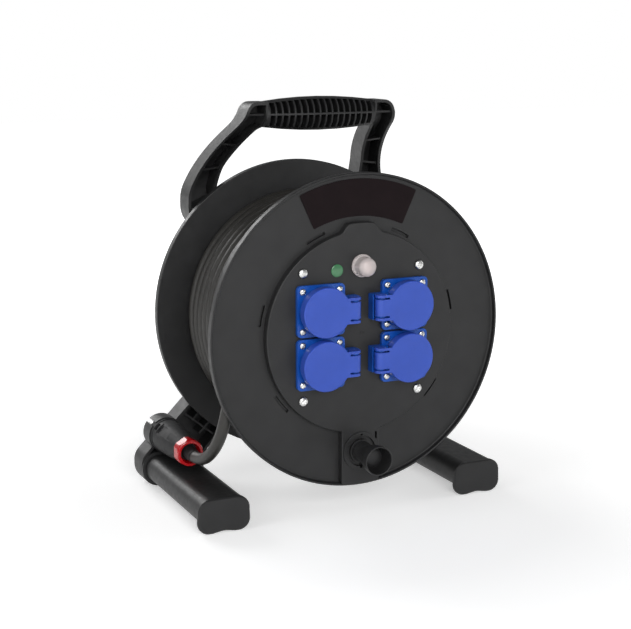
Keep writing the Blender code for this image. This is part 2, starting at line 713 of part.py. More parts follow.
def make_panel(look, parent):
    over_lip = panel_outline(ARM_END_RADIUS)
    lip_flats = (FLANGE_RADIUS - LIP_WALL) * math.cos(math.pi / ROUND_LARGE)
    inside_lip = panel_outline(lip_flats - FIT_GAP)
    back = PANEL_FRONT_Y + PANEL_WALL
    levels = ((grown(over_lip, -PANEL_CHAMFER), PANEL_FRONT_Y),
              (over_lip, PANEL_FRONT_Y + PANEL_CHAMFER),
              (over_lip, -FIT_GAP),
              (inside_lip, -FIT_GAP),
              (inside_lip, LIP_DEPTH - FIT_GAP),
              (grown(inside_lip, -PANEL_WALL), LIP_DEPTH - FIT_GAP),
              (grown(inside_lip, -PANEL_WALL), back))
    body = skin("panel", [[(x, y, z) for x, z in outline] for outline, y in levels])
    holes = []
    front, rear = PANEL_FRONT_Y - REACH, back + REACH
    for x, z in SOCKET_PLACES:
        holes.append(rod("hole", SOCKET_BODY_RADIUS + RUN_GAP, front, rear, ROUND_MIDDLE, (x, z)))
    for x, z in SCREW_PLACES:
        holes.append(rod("hole", PANEL_SCREW_SHANK + FIT_GAP, front, rear, 8, (x, z)))
    holes.append(rod("hole", LAMP_NECK_RADIUS + FIT_GAP, front, rear, ROUND_BUTTON, (LAMP_X, LAMP_Z)))
    holes.append(rod("hole", BREAKER_NECK_RADIUS + FIT_GAP, front, rear, ROUND_BUTTON, (0.0, BREAKER_Z)))
    holes.append(rod("hole", SEAT_NECK_RADIUS + FIT_GAP, front, rear, ROUND_MIDDLE, (0.0, KNOB_Z)))
    slit_x = (ARM_SLIT_X - ARM_SLIT_WIDTH / 2, ARM_SLIT_X + ARM_SLIT_WIDTH / 2)
    slit_z = (ARM_SLIT_Z - ARM_SLIT_LENGTH / 2, ARM_SLIT_Z + ARM_SLIT_LENGTH / 2)
    holes.append(block("slit", slit_x, (front, rear), slit_z))
    carve(body, holes)
    finish(body, "socket_panel", look, parent)


def make_panel_screws(look, parent):
    face = PANEL_FRONT_Y - FIT_GAP
    top = face - PANEL_SCREW_RISE
    end = PANEL_FRONT_Y + PANEL_SCREW_LENGTH
    profile = ((0, top), (PANEL_SCREW_HEAD * 0.7, top), (PANEL_SCREW_HEAD, (top + face) / 2),
               (PANEL_SCREW_HEAD, face), (PANEL_SCREW_SHANK, face), (PANEL_SCREW_SHANK, end), (0, end))
    first = finish(turned("screw", profile, ROUND_SMALL), "panel_screw_1", look, parent)
    first.location = (SCREW_PLACES[0][0], 0.0, SCREW_PLACES[0][1])
    for number, (x, z) in enumerate(SCREW_PLACES[1:], 2):
        copy_of(first, f"panel_screw_{number}", parent, (x, 0.0, z))


def make_label_plate(look, parent):
    outline = sector(LABEL_INNER, LABEL_OUTER, math.pi / 2, LABEL_HALF_ANGLE, 6)
    rear = LIP_DEPTH - FIT_GAP
    finish(prism("label", outline, rear - LABEL_THICKNESS, rear), "label_plate", look, parent)


def make_chamber(look, parent):
    """Cup that closes the space behind the sockets."""
    front = PANEL_FRONT_Y + PANEL_WALL + FIT_GAP
    inner = CHAMBER_RADIUS - CHAMBER_WALL
    floor = CHAMBER_REAR_Y - CHAMBER_WALL
    profile = ((inner, front), (CHAMBER_RADIUS, front), (CHAMBER_RADIUS, CHAMBER_REAR_Y),
               (0, CHAMBER_REAR_Y), (0, floor), (inner, floor))
    body = turned("chamber", profile, LOOP_POINTS)
    cuts = [rod("hole", CHAMBER_GLAND_RADIUS + FIT_GAP, floor - REACH, CHAMBER_REAR_Y + REACH,
                ROUND_SMALL, (CHAMBER_GLAND_X, 0.0))]
    for place in SCREW_PLACES:
        cuts.append(rod("pillar room", PILLAR_RADIUS + FIT_GAP, 0.0, PILLAR_DEPTH + FIT_GAP,
                        ROUND_SMALL, place))
    carve(body, cuts)
    finish(body, "contact_chamber", look, parent)


def make_chamber_gland(look, parent):
    bore = CORD_DIAMETER / 2 + FIT_GAP
    shoulder = CHAMBER_REAR_Y + FIT_GAP
    tail = shoulder + CHAMBER_GLAND_LENGTH
    rim = CHAMBER_GLAND_RADIUS * 1.3
    front = CHAMBER_REAR_Y - 2 * CHAMBER_WALL
    profile = ((bore, front), (CHAMBER_GLAND_RADIUS, front),
               (CHAMBER_GLAND_RADIUS, shoulder), (rim, shoulder), (rim, shoulder + CHAMBER_WALL),
               (CHAMBER_GLAND_RADIUS, shoulder + CHAMBER_WALL), (bore + CHAMBER_WALL / 2, tail), (bore, tail))
    body = turned("gland", profile, ROUND_SMALL, (CHAMBER_GLAND_X, 0.0))
    finish(body, "chamber_gland", look, parent)


# ---------------------------------------------------------------- sockets
SOCKET_PLACES = [(x, z) for x in (-SOCKET_X, SOCKET_X) for z in (SOCKET_Z, -SOCKET_Z)]
SOCKET_PLATE_REAR_Y = PANEL_FRONT_Y - FIT_GAP
SOCKET_PLATE_FRONT_Y = SOCKET_PLATE_REAR_Y - SOCKET_PLATE_THICK
SOCKET_FLOOR_Y = INSERT_REAR_Y + FIT_GAP
SOCKET_BODY_REAR_Y = SOCKET_FLOOR_Y + SOCKET_BODY_FLOOR
UPRIGHT = Matrix.Rotation(math.pi / 2, 4, "X")


def about_pin(name, radius, low, high, segments=ROUND_SMALL):
    """Round body about the hinge pin's axis, in socket coordinates."""
    place = Matrix.Translation((HINGE_OFFSET, HINGE_PIN_Y, 0.0)) @ UPRIGHT
    return rod(name, radius, low, high, segments, (0.0, 0.0), place)


def make_ear(middle):
    """Thin upright plate with a round end that carries one end of the hinge pin."""
    outline = [(HINGE_OFFSET - EAR_RADIUS, SOCKET_PLATE_FRONT_Y)]
    steps = 3
    for step in range(steps + 1):
        angle = math.pi * (1 + step / steps)
        x = HINGE_OFFSET + EAR_RADIUS * math.cos(angle)
        outline.append((x, HINGE_PIN_Y + EAR_RADIUS * math.sin(angle)))
    outline.append((HINGE_OFFSET + EAR_RADIUS, SOCKET_PLATE_FRONT_Y))
    levels = (middle - EAR_WALL / 2, middle + EAR_WALL / 2)
    return skin("ear", [[(x, y, z) for x, y in outline] for z in levels])


def make_socket_base():
    """Socket housing about its own centre line, with its hinge towards +X."""
    hinge = block("hinge", (SOCKET_PLATE / 2 - 0.004, HINGE_OFFSET + HINGE_BLOCK_REACH),
                  (HINGE_BLOCK_FRONT_Y, SOCKET_PLATE_REAR_Y), (-KNUCKLE_HALF_WIDTH, KNUCKLE_HALF_WIDTH))
    cradle_radius = KNUCKLE_RADIUS + RUN_GAP
    carve(hinge, [about_pin("cradle", cradle_radius, -SOCKET_PLATE / 2, SOCKET_PLATE / 2, 16)])
    ears = [make_ear(side) for side in (-EAR_Z, EAR_Z)]
    plate = prism("plate", box_outline(SOCKET_PLATE, SOCKET_PLATE, SOCKET_PLATE_CORNER),
                  SOCKET_PLATE_FRONT_Y, SOCKET_PLATE_REAR_Y)
    collar = rod("collar", SOCKET_COLLAR_RADIUS, SOCKET_COLLAR_FRONT_Y, SOCKET_PLATE_REAR_Y - REACH,
                 ROUND_MIDDLE)
    housing = rod("housing", SOCKET_BODY_RADIUS, SOCKET_PLATE_FRONT_Y, SOCKET_BODY_REAR_Y, ROUND_MIDDLE)
    join(plate, [hinge, collar, housing] + ears)
    cuts = [rod("well", SOCKET_WELL_RADIUS, SOCKET_COLLAR_FRONT_Y - REACH, SOCKET_FLOOR_Y, ROUND_MIDDLE)]
    cuts.append(about_pin("bore", HINGE_PIN_RADIUS + FIT_GAP, -KNUCKLE_HALF_WIDTH, KNUCKLE_HALF_WIDTH, 8))
    return carve(plate, cuts)


def make_socket_insert():
    """Contact carrier with two pin holes and a notch for each earth clip."""
    body = rod("insert", SOCKET_WELL_RADIUS - FIT_GAP, INSERT_FRONT_Y, INSERT_REAR_Y, ROUND_MIDDLE)
    cuts = []
    for side in (-1, 1):
        centre = (0.0, side * CONTACT_PITCH / 2)
        cuts.append(rod("contact", CONTACT_HOLE_RADIUS, INSERT_FRONT_Y - REACH,
                        INSERT_FRONT_Y + CONTACT_HOLE_DEPTH, 8, centre))
        edge = side * SOCKET_WELL_RADIUS
        deep = side * (SOCKET_WELL_RADIUS - EARTH_NOTCH_DEPTH)
        cuts.append(block("notch", (min(edge, deep), max(edge, deep)),
                          (INSERT_FRONT_Y - REACH, INSERT_REAR_Y + REACH),
                          (-EARTH_NOTCH_WIDTH / 2, EARTH_NOTCH_WIDTH / 2)))
    return carve(body, cuts)


def make_socket_lid():
    """Spring lid; its mesh is shifted so that the object's origin is on the hinge pin."""
    skin_rear = LID_FRONT_Y + LID_SKIN
    skirt_inner = LID_RADIUS - LID_SKIRT_WALL
    soft = LID_SKIN / 2
    profile = ((0, LID_FRONT_Y), (LID_RADIUS - soft, LID_FRONT_Y), (LID_RADIUS, LID_FRONT_Y + soft),
               (LID_RADIUS, LID_SKIRT_REAR_Y), (skirt_inner, LID_SKIRT_REAR_Y), (skirt_inner, skin_rear),
               (0, skin_rear))
    body = turned("lid", profile, ROUND_MIDDLE)
    relief = block("relief", (0.0, LID_RADIUS + REACH), (skin_rear, LID_SKIRT_REAR_Y + REACH),
                   (-KNUCKLE_HALF_WIDTH - FIT_GAP, KNUCKLE_HALF_WIDTH + FIT_GAP))
    carve(body, [relief])
    bridge = block("bridge", (LID_RADIUS - 0.006, HINGE_OFFSET), (LID_FRONT_Y, skin_rear),
                   (-KNUCKLE_HALF_WIDTH, KNUCKLE_HALF_WIDTH))
    knuckle = about_pin("knuckle", KNUCKLE_RADIUS, -KNUCKLE_HALF_WIDTH, KNUCKLE_HALF_WIDTH, 16)
    join(body, [bridge, knuckle])
    cuts = [about_pin("bore", HINGE_PIN_RADIUS + FIT_GAP, -LID_RADIUS, LID_RADIUS, 8)]
    slot_width = EAR_WALL + RUN_GAP
    slot_end = HINGE_OFFSET + KNUCKLE_RADIUS + REACH
    for side in (-EAR_Z, EAR_Z):
        cuts.append(block("slot", (slot_end - EAR_SLOT_LENGTH, slot_end),
                          (LID_FRONT_Y - REACH, HINGE_PIN_Y + KNUCKLE_RADIUS + REACH),
                          (side - slot_width / 2, side + slot_width / 2)))
    carve(body, cuts)
    body.data.transform(Matrix.Translation((-HINGE_OFFSET, -HINGE_PIN_Y, 0.0)))
    return body


def make_sockets(looks, parent):
    base = finish(make_socket_base(), "socket_base_1", looks["base blue"], parent)
    insert = finish(make_socket_insert(), "socket_insert_1", looks["base blue"], parent)
    lid = finish(make_socket_lid(), "socket_lid_1", looks["lid blue"], parent)
    pin_half = KNUCKLE_HALF_WIDTH - FIT_GAP
    pin = rod("pin", HINGE_PIN_RADIUS, -pin_half, pin_half, 8, (0.0, 0.0), UPRIGHT)
    pin = finish(pin, "lid_pin_1", looks["steel"], parent)
    originals = {"socket_base": base, "socket_insert": insert, "socket_lid": lid, "lid_pin": pin}
    for number, (x, z) in enumerate(SOCKET_PLACES, 1):
        side = 1 if x < 0 else -1
        turn = 0.0 if side > 0 else math.pi
        for kind, first in originals.items():
            on_pin = kind in ("socket_lid", "lid_pin")
            location = (x + side * HINGE_OFFSET, HINGE_PIN_Y, z) if on_pin else (x, 0.0, z)
            if number == 1:
                first.location = location
            else:
                copy_of(first, f"{kind}_{number}", parent, location, turn)


# ---------------------------------------------------------------- lamp and cut-out
def make_lamp(look, parent):
    face = PANEL_FRONT_Y - FIT_GAP
    front = face - LAMP_RISE
    profile = ((0, front), (LAMP_RADIUS - LAMP_RISE / 2, front), (LAMP_RADIUS, front + LAMP_RISE / 2),
               (LAMP_RADIUS, face), (LAMP_NECK_RADIUS, face), (LAMP_NECK_RADIUS, LAMP_REAR_Y),
               (0, LAMP_REAR_Y))
    body = turned("lamp", profile, ROUND_BUTTON)
    finish(body, "pilot_lamp", look, parent).location = (LAMP_X, 0.0, LAMP_Z)


def make_breaker(look, parent):
    back = PANEL_FRONT_Y + PANEL_WALL + FIT_GAP
    half_width, half_height = BREAKER_BODY_WIDTH / 2, BREAKER_BODY_HEIGHT / 2
    half_height = max(half_height, BREAKER_NECK_RADIUS)
    body = block("breaker", (-half_width, half_width), (back, BREAKER_BODY_REAR_Y),
                 (-half_height, half_height))
    join(body, [rod("neck", BREAKER_NECK_RADIUS, BREAKER_NECK_FRONT_Y, back + REACH, ROUND_BUTTON)])
    depth = BUTTON_REAR_Y + BUTTON_TRAVEL + FIT_GAP
    bore = BUTTON_RADIUS + RUN_GAP
    carve(body, [rod("bore", bore, BREAKER_NECK_FRONT_Y - REACH, depth, ROUND_BUTTON)])
    finish(body, "thermal_breaker", look, parent).location = (0.0, 0.0, BREAKER_Z)


def make_button(look, parent):
    profile = ((0, BUTTON_FRONT_Y), (BUTTON_RADIUS - BUTTON_EDGE, BUTTON_FRONT_Y),
               (BUTTON_RADIUS, BUTTON_FRONT_Y + BUTTON_EDGE), (BUTTON_RADIUS, BUTTON_REAR_Y),
               (0, BUTTON_REAR_Y))
    body = turned("button", profile, ROUND_BUTTON)
    finish(body, "reset_button", look, parent).location = (0.0, 0.0, BREAKER_Z)


def make_boot(look, parent):
    """Clear cap over the reset button, open at the back."""
    face = PANEL_FRONT_Y - FIT_GAP
    inner = BOOT_RADIUS - BOOT_WALL
    dome_start = BOOT_TIP_Y + BOOT_RADIUS * 0.6
    steps = 3
    profile = [(inner, face), (BOOT_BASE_RADIUS, face), (BOOT_BASE_RADIUS, face - BOOT_BASE_THICK),
               (BOOT_RADIUS, face - BOOT_BASE_THICK)]
    height = dome_start - BOOT_TIP_Y
    for step in range(steps):
        angle = math.pi / 2 * step / steps
        profile.append((BOOT_RADIUS * math.cos(angle), dome_start - height * math.sin(angle)))
    profile.append((0, BOOT_TIP_Y))
    tip = BOOT_TIP_Y + BOOT_WALL
    profile.append((0, tip))
    for step in reversed(range(steps)):
        angle = math.pi / 2 * step / steps
        profile.append((inner * math.cos(angle), dome_start - (dome_start - tip) * math.sin(angle)))
    body = turned("boot", profile, ROUND_BUTTON)
    finish(body, "button_boot", look, parent).location = (0.0, 0.0, BREAKER_Z)


# ---------------------------------------------------------------- crank knob
SEAT_FACE_Y = PANEL_FRONT_Y - FIT_GAP
KNOB_BASE_Y = SEAT_FACE_Y - SEAT_RISE - 2 * RUN_GAP
KNOB_FLOOR_Y = KNOB_TIP_Y + KNOB_CUP_DEPTH


def make_knob_seat(look, parent):
    bore = KNOB_SCREW_RADIUS + FIT_GAP
    rear = LIP_DEPTH - 2 * FIT_GAP
    front = SEAT_FACE_Y - SEAT_RISE
    hub_front = KNOB_BASE_Y + RUN_GAP
    groove = front + SEAT_GROOVE_DEPTH
    profile = ((bore, hub_front), (SEAT_GROOVE_INNER, hub_front), (SEAT_GROOVE_INNER, groove),
               (SEAT_GROOVE_OUTER, groove), (SEAT_GROOVE_OUTER, front), (SEAT_RADIUS, front),
               (SEAT_RADIUS, SEAT_FACE_Y), (SEAT_NECK_RADIUS, SEAT_FACE_Y), (SEAT_NECK_RADIUS, rear),
               (bore, rear))
    body = turned("seat", profile, ROUND_MIDDLE)
    half = SEAT_NOTCH_WIDTH / 2
    middle = (SEAT_RADIUS + SEAT_GROOVE_OUTER) / 2
    notches = []
    for low, high in ((-middle, REACH - SEAT_GROOVE_INNER), (SEAT_GROOVE_INNER - REACH, middle)):
        notches.append(block("notch", (-half, half), (front - REACH, groove + REACH), (low, high)))
    carve(body, notches)
    finish(body, "knob_seat", look, parent).location = (0.0, 0.0, KNOB_Z)


def make_knob(look, parent):
    """Hollow turned knob that flares towards its tip."""
    bore = KNOB_SCREW_RADIUS + RUN_GAP
    waist_y = KNOB_BASE_Y - 0.010
    flare_y = KNOB_TIP_Y + 0.004
    profile = [(bore, KNOB_FLOOR_Y), (bore, KNOB_BASE_Y), (KNOB_BASE_RADIUS, KNOB_BASE_Y)]
    steps = 4
    for step in range(steps + 1):
        share = step / steps
        blend = share * share * (3 - 2 * share)
        radius = KNOB_WAIST_RADIUS + (KNOB_TIP_RADIUS - KNOB_WAIST_RADIUS) * blend
        profile.append((radius, waist_y + (flare_y - waist_y) * share))
    lip = 0.0012
    profile += [(KNOB_TIP_RADIUS, KNOB_TIP_Y + lip), (KNOB_TIP_RADIUS - lip, KNOB_TIP_Y),
                (KNOB_CUP_RADIUS + lip / 2, KNOB_TIP_Y), (KNOB_CUP_RADIUS, KNOB_TIP_Y + lip / 2),
                (KNOB_CUP_RADIUS, KNOB_FLOOR_Y)]
    body = turned("knob", profile, ROUND_MIDDLE)
    finish(body, "crank_knob", look, parent).location = (0.0, 0.0, KNOB_Z)


def make_knob_axle(look, parent):
    seat = KNOB_FLOOR_Y - FIT_GAP
    front = seat - KNOB_SCREW_HEAD_THICK
    end = KNOB_SCREW_REAR_Y
    edge = KNOB_SCREW_HEAD_THICK / 3
    profile = ((0, front), (KNOB_SCREW_HEAD - edge, front), (KNOB_SCREW_HEAD, front + edge),
               (KNOB_SCREW_HEAD, seat), (KNOB_SCREW_RADIUS, seat), (KNOB_SCREW_RADIUS, end), (0, end))
    body = turned("screw", profile, ROUND_SMALL)
    finish(body, "knob_axle", look, parent).location = (0.0, 0.0, KNOB_Z)


# ---------------------------------------------------------------- cord on the drum
def winding_points():
    """Centre line of the outer layer from the rear flange, with its straight run off the winding."""
    run = LIFT_ANGLE / (2 * math.pi)
    count = round((WINDING_TURNS - run) * LOOP_POINTS)
    points = []
    for step in range(count + 1):
        left = (count - step) / LOOP_POINTS + run
        angle = LIFT_OFF_ANGLE + LIFT_ANGLE - 2 * math.pi * left
        y = WINDING_FRONT_Y + (WINDING_REAR_Y - WINDING_FRONT_Y) * left / WINDING_TURNS
        points.append(Vector((WINDING_RADIUS * math.cos(angle), y, WINDING_RADIUS * math.sin(angle))))
    back = (points[0] - points[1]).normalized()
    points.insert(0, points[0] + back * CORD_DIAMETER)
    end = LIFT_OFF_ANGLE + LIFT_ANGLE
    points.append(Vector((LIFTED_RADIUS * math.cos(end), WINDING_FRONT_Y, LIFTED_RADIUS * math.sin(end))))
    return points


def least_gap(points):
    """Smallest air gap of the tube to itself, measured between its centre line's points."""
    near = LOOP_POINTS // 2
    gaps = [(first - second).length for index, first in enumerate(points)
            for second in points[index + near:]]
    return min(gaps) - CORD_DIAMETER


def tube(name, points, resolution, look, parent):
    curve = bpy.data.curves.new(name, "CURVE")
    curve.dimensions = "3D"
    curve.bevel_depth = CORD_DIAMETER / 2
    curve.bevel_resolution = resolution
    curve.use_fill_caps = True
    spline = curve.splines.new("POLY")
    spline.points.add(len(points) - 1)
    for spot, point in zip(spline.points, points):
        spot.co = (*point, 1.0)
    spline.use_smooth = True
    curve.materials.append(look)
    body = bpy.data.objects.new(name, curve)
    bpy.context.scene.collection.objects.link(body)
    body.parent = parent
    return body


def make_winding(look, parent):
    points = winding_points()
    print(f"least gap of the winding to itself: {least_gap(points) * 1000:.2f} mm")
    tube("cord_winding", points, 1, look, parent)


def make_inner_layers(look, parent):
    inner = (BARREL_RADIUS + FIT_GAP) / math.cos(math.pi / LOOP_POINTS)
    outer = BARREL_RADIUS + FIT_GAP + INNER_LAYER
    front, rear = FLANGE_BACK_Y + FIT_GAP, REAR_FLANGE_FRONT_Y - FIT_GAP
    profile = ((inner, front), (outer, front), (outer, rear), (inner, rear))
    finish(turned("core", profile, LOOP_POINTS), "cord_inner_layers", look, parent)


# places of the free cord between the winding and the parked plug: down, then back in a wide arc
CORD_ROUTE = (
    (-0.1349, 0.0148, -0.0719),
    (-0.1391, 0.0190, -0.0931),
    (-0.1427, 0.0311, -0.1111),
    (-0.1452, 0.0491, -0.1232),
)
CORD_STEP = 0.025           # distance between the points of the free cord


def smooth_route(route, first_way, last_way, step):
    """Points of a Hermite spline through the route's own points."""
    spots = [Vector(point) for point in route]
    ways = [Vector(first_way)]
    for before, after in zip(spots, spots[2:]):
        ways.append((after - before).normalized())
    ways.append(Vector(last_way))
    points = [spots[0]]
    for index in range(len(spots) - 1):
        span = (spots[index + 1] - spots[index]).length
        pieces = max(1, round(span / step))
        for piece in range(1, pieces + 1):
            t = piece / pieces
            blend = 3 * t ** 2 - 2 * t ** 3
            point = spots[index].lerp(spots[index + 1], blend)
            point += (t ** 3 - 2 * t ** 2 + t) * span * ways[index]
            point += (t ** 3 - t ** 2) * span * ways[index + 1]
            points.append(point)
    return points


def make_free_cord(look, parent):
    before, end = winding_points()[-2:]
    way = (end - before).normalized()
    start = end + way * FIT_GAP
    gland = Vector((PLUG_X, GLAND_NUT_FRONT_Y + GLAND_INSERT_SETBACK - FIT_GAP, PLUG_Z))
    inwards = Vector((0.0, 1.0, 0.0))
    route = (start, start + way * CORD_DIAMETER, *CORD_ROUTE, gland - inwards * CORD_DIAMETER, gland)
    tube("free_cord", smooth_route(route, way, inwards, CORD_STEP), 2, look, parent)


# ---------------------------------------------------------------- carrying frame
def frame_outline():
    """Outer outline seen from the front, before the arms lean."""
    low_shoulder = SHOULDER_X - WAIST_X
    foot_corner = WAIST_X - FOOT_OUTER_X
    inner_corner = LEG_HUB_Z - FOOT_LEG_INNER_X
    half = ((HANDLE_TOP_X, BAR_TOP_Z, HANDLE_CORNER), (SHOULDER_X, SHOULDER_TOP_Z, SHOULDER_CORNER),
            (SHOULDER_X, low_shoulder, SHOULDER_LOW_CORNER), (WAIST_X, 0.0, WAIST_CORNER),
            (FOOT_OUTER_X, foot_corner, FOOT_TOP_CORNER), (FOOT_OUTER_X, FLOOR_Z, FOOT_OUTER_CORNER),
            (FOOT_INNER_X, FLOOR_Z, FOOT_INNER_CORNER), (FOOT_LEG_INNER_X, inner_corner, LEG_INNER_CORNER),
            (0.0, LEG_HUB_Z, LEG_ARCH_RADIUS))
    return rounded(mirrored(half))


def handle_hole():
    """Opening between the arms, under the bar."""
    low_elbow = HOLE_FLOOR_Z + ELBOW_LOW_X
    half = ((HANDLE_INNER_X, BAR_TOP_Z - BAR_HEIGHT, HOLE_TOP_RADIUS), (ELBOW_X, ELBOW_Z, HOLE_ELBOW_RADIUS),
            (ELBOW_LOW_X, low_elbow, HOLE_SIDE_RADIUS), (0.0, HOLE_FLOOR_Z, HOLE_FLOOR_RADIUS))
    return rounded(mirrored(half))


def collar_outline(side, distance):
    centre = (side * FOOT_X, TUBE_CENTRE_Z)
    return grown(box_outline(TUBE_WIDTH, TUBE_HEIGHT, TUBE_CORNER, centre), distance)


def frame_ribs():
    """Centre lines of the stiffening ribs, as pairs of (x, z) points on the right half."""
    low, high = LEG_RIB_OFFSET, LEG_HUB_Z + WAIST_X - LEG_RIB_OFFSET
    arm_middle = (HOLE_FLOOR_Z - WAIST_X) / 2
    return [[(x, low - x) for x in LEG_RIB_X], [(x, high - x) for x in LEG_LOW_RIB_X],
            [(x, arm_middle + x) for x in ARM_RIB_X], ANKLE_RIB, SHOULDER_RIB, ELBOW_RIB, WRIST_RIB]


def channel(parts_rear):
    """The hollow of the moulding, open to the front, with its islands and ribs left standing."""
    front = FRAME_FRONT_Y - REACH
    hollow = prism("hollow", grown(frame_outline(), -FRAME_WALL), front, parts_rear)
    stays = [prism("island", grown(handle_hole(), FRAME_WALL), front - REACH, parts_rear + REACH)]
    stays.append(rod("island", FRAME_HUB_RADIUS, front - REACH, parts_rear + REACH, ROUND_MIDDLE))
    rib_front = FRAME_FRONT_Y + FRAME_RIB_SETBACK
    for side in (-1, 1):
        collar = collar_outline(side, COLLAR_WALL)
        stays.append(prism("island", collar, front - REACH, parts_rear + REACH))
        for (x0, z0), (x1, z1) in frame_ribs():
            ends = (side * x0, z0), (side * x1, z1)
            stays.append(bar("rib", *ends, FRAME_RIB, rib_front, parts_rear + REACH))
        end_x = side * GRIP_HALF_LENGTH
        stays.append(bar("end wall", (end_x, BAR_TOP_Z), (end_x, BAR_TOP_Z - BAR_HEIGHT), FRAME_RIB,
                         front - REACH, parts_rear + REACH))
    stays.append(bar("rib", (-SHOULDER_X, BAR_CENTRE_Z), (SHOULDER_X, BAR_CENTRE_Z), FRAME_RIB,
                     rib_front, parts_rear + REACH))
    return carve(hollow, stays)


def lean_of(z):
    """Forward shift of the arms at a height over the axle: two parabolas that meet at the knee."""
    if z <= LEAN_START_Z:
        return 0.0
    steepest = 2 * HANDLE_FORWARD / (LEAN_END_Z - LEAN_START_Z)
    if z <= LEAN_KNEE_Z:
        return steepest / 2 / (LEAN_KNEE_Z - LEAN_START_Z) * (z - LEAN_START_Z) ** 2
    if z < LEAN_END_Z:
        return HANDLE_FORWARD - steepest / 2 / (LEAN_END_Z - LEAN_KNEE_Z) * (LEAN_END_Z - z) ** 2
    return HANDLE_FORWARD


def lean_forward(body):
    shape = bmesh.new()
    shape.from_mesh(body.data)
    for step in range(LEAN_STEPS + 1):
        level = LEAN_START_Z + (LEAN_END_Z - LEAN_START_Z) * step / LEAN_STEPS
        everything = shape.verts[:] + shape.edges[:] + shape.faces[:]
        bmesh.ops.bisect_plane(shape, geom=everything, plane_co=(0.0, 0.0, level), plane_no=(0.0, 0.0, 1.0))
    for vert in shape.verts:
        vert.co.y -= lean_of(vert.co.z)
    bmesh.ops.triangulate(shape, faces=shape.faces)
    shape.to_mesh(body.data)
    shape.free()


def grip_size(x):
    """Share of the grip's full section at a distance from its middle."""
    share = min(1.0, abs(x) / GRIP_HALF_LENGTH)
    return 1.0 - (1.0 - GRIP_END_SHRINK) * share * share


def grip_pocket(x_low, x_high, side):
    """Space between two fins, above or below the mid rib, open to the front."""
    size = grip_size((x_low + x_high) / 2)
    height = GRIP_HALF_HEIGHT * size - GRIP_WALL
    depth = GRIP_HALF_DEPTH * size - GRIP_WALL
    floor = GRIP_RIB_WALL / 2
    front = BAR_CENTRE_Y - GRIP_HALF_DEPTH - REACH
    outline = [(front, height), (front, floor)]
    steps = 2
    lowest = math.asin(floor / height)
    for step in range(steps + 1):
        angle = lowest + (math.pi / 2 - lowest) * step / steps
        outline.append((BAR_CENTRE_Y + depth * math.cos(angle), height * math.sin(angle)))
    rings = [[(x, y, BAR_CENTRE_Z + side * z) for y, z in outline] for x in (x_low, x_high)]
    return skin("pocket", rings)


def make_grip():
    """Swollen finned grip: an elliptic envelope with pockets open to the front."""
    stations = 6
    segments = 14
    rings = []
    for step in range(stations + 1):
        x = GRIP_HALF_LENGTH * (2 * step / stations - 1)
        size = grip_size(x)
        ring = []
        for turn in range(segments):
            angle = 2 * math.pi * turn / segments
            ring.append((x, BAR_CENTRE_Y + GRIP_HALF_DEPTH * size * math.cos(angle),
                         BAR_CENTRE_Z + GRIP_HALF_HEIGHT * size * math.sin(angle)))
        rings.append(ring)
    body = skin("grip", rings)
    gaps = GRIP_FINS + 1
    span = 2 * (GRIP_HALF_LENGTH - GRIP_FIN_WALL * 2)
    pockets = []
    for step in range(gaps):
        low = -span / 2 + span * step / gaps + GRIP_FIN_WALL / 2
        high = -span / 2 + span * (step + 1) / gaps - GRIP_FIN_WALL / 2
        pockets.append(grip_pocket(low, high, 1))
        pockets.append(grip_pocket(low, high, -1))
    return carve(body, pockets)


def make_frame(look, parent):
    back = FRAME_REAR_Y - FRAME_WALL
    body = prism("frame", frame_outline(), FRAME_FRONT_Y, FRAME_REAR_Y)
    carve(body, [prism("hole", handle_hole(), FRAME_FRONT_Y - REACH, FRAME_REAR_Y + REACH), channel(back)])
    gap_x = GRIP_HALF_LENGTH - GRIP_FIN_WALL
    carve(body, [block("gap", (-gap_x, gap_x), (FRAME_FRONT_Y - REACH, FRAME_REAR_Y + REACH),
                       (BAR_TOP_Z - BAR_HEIGHT - REACH, BAR_TOP_Z + REACH))])
    lean_forward(body)
    additions = [make_grip(), rod("hub", FRAME_HUB_RADIUS, FRAME_HUB_FRONT_Y, back + REACH, ROUND_MIDDLE)]
    for side in (-1, 1):
        additions.append(prism("collar", collar_outline(side, FIT_GAP + COLLAR_WALL),
                               COLLAR_FRONT_Y, back + REACH))
    clip = (PLUG_X, PLUG_Z)
    additions.append(rod("clip", HOLDER_RADIUS, HOLDER_FRONT_Y, HOLDER_REAR_Y, ROUND_MIDDLE, clip))
    join(body, additions)
    cuts = [rod("bore", AXLE_RADIUS + FIT_GAP, FRAME_HUB_FRONT_Y - REACH, FRAME_REAR_Y + REACH, ROUND_MIDDLE),
            rod("counterbore", AXLE_HEAD_RADIUS + RUN_GAP, HEAD_SEAT_Y, FRAME_REAR_Y + REACH, ROUND_MIDDLE),
            rod("clip bore", HOLDER_RADIUS - HOLDER_WALL, HOLDER_FRONT_Y - REACH, HOLDER_REAR_Y + REACH,
                ROUND_MIDDLE, clip)]
    outwards = HOLDER_RADIUS * 1.2 / math.sqrt(2)
    inwards = HOLDER_RADIUS * 0.5 / math.sqrt(2)
    cuts.append(bar("slit", (PLUG_X - inwards, PLUG_Z + inwards), (PLUG_X - outwards, PLUG_Z + outwards),
                    HOLDER_SLIT, HOLDER_FRONT_Y - REACH, HOLDER_REAR_Y + REACH))
    for side in (-1, 1):
        cuts.append(prism("socket", collar_outline(side, FIT_GAP), COLLAR_FRONT_Y - REACH, back))
        cuts.append(foot_drill(side, FLOOR_Z - REACH, FOOT_SCREW_HEAD + FIT_GAP, FLOOR_Z + FOOT_SCREW_RECESS))
        cuts.append(foot_drill(side, FLOOR_Z - REACH, FOOT_SCREW_RADIUS + FIT_GAP, TUBE_CENTRE_Z))
    carve(body, cuts)
    finish(body, "carrying_frame", look, parent)


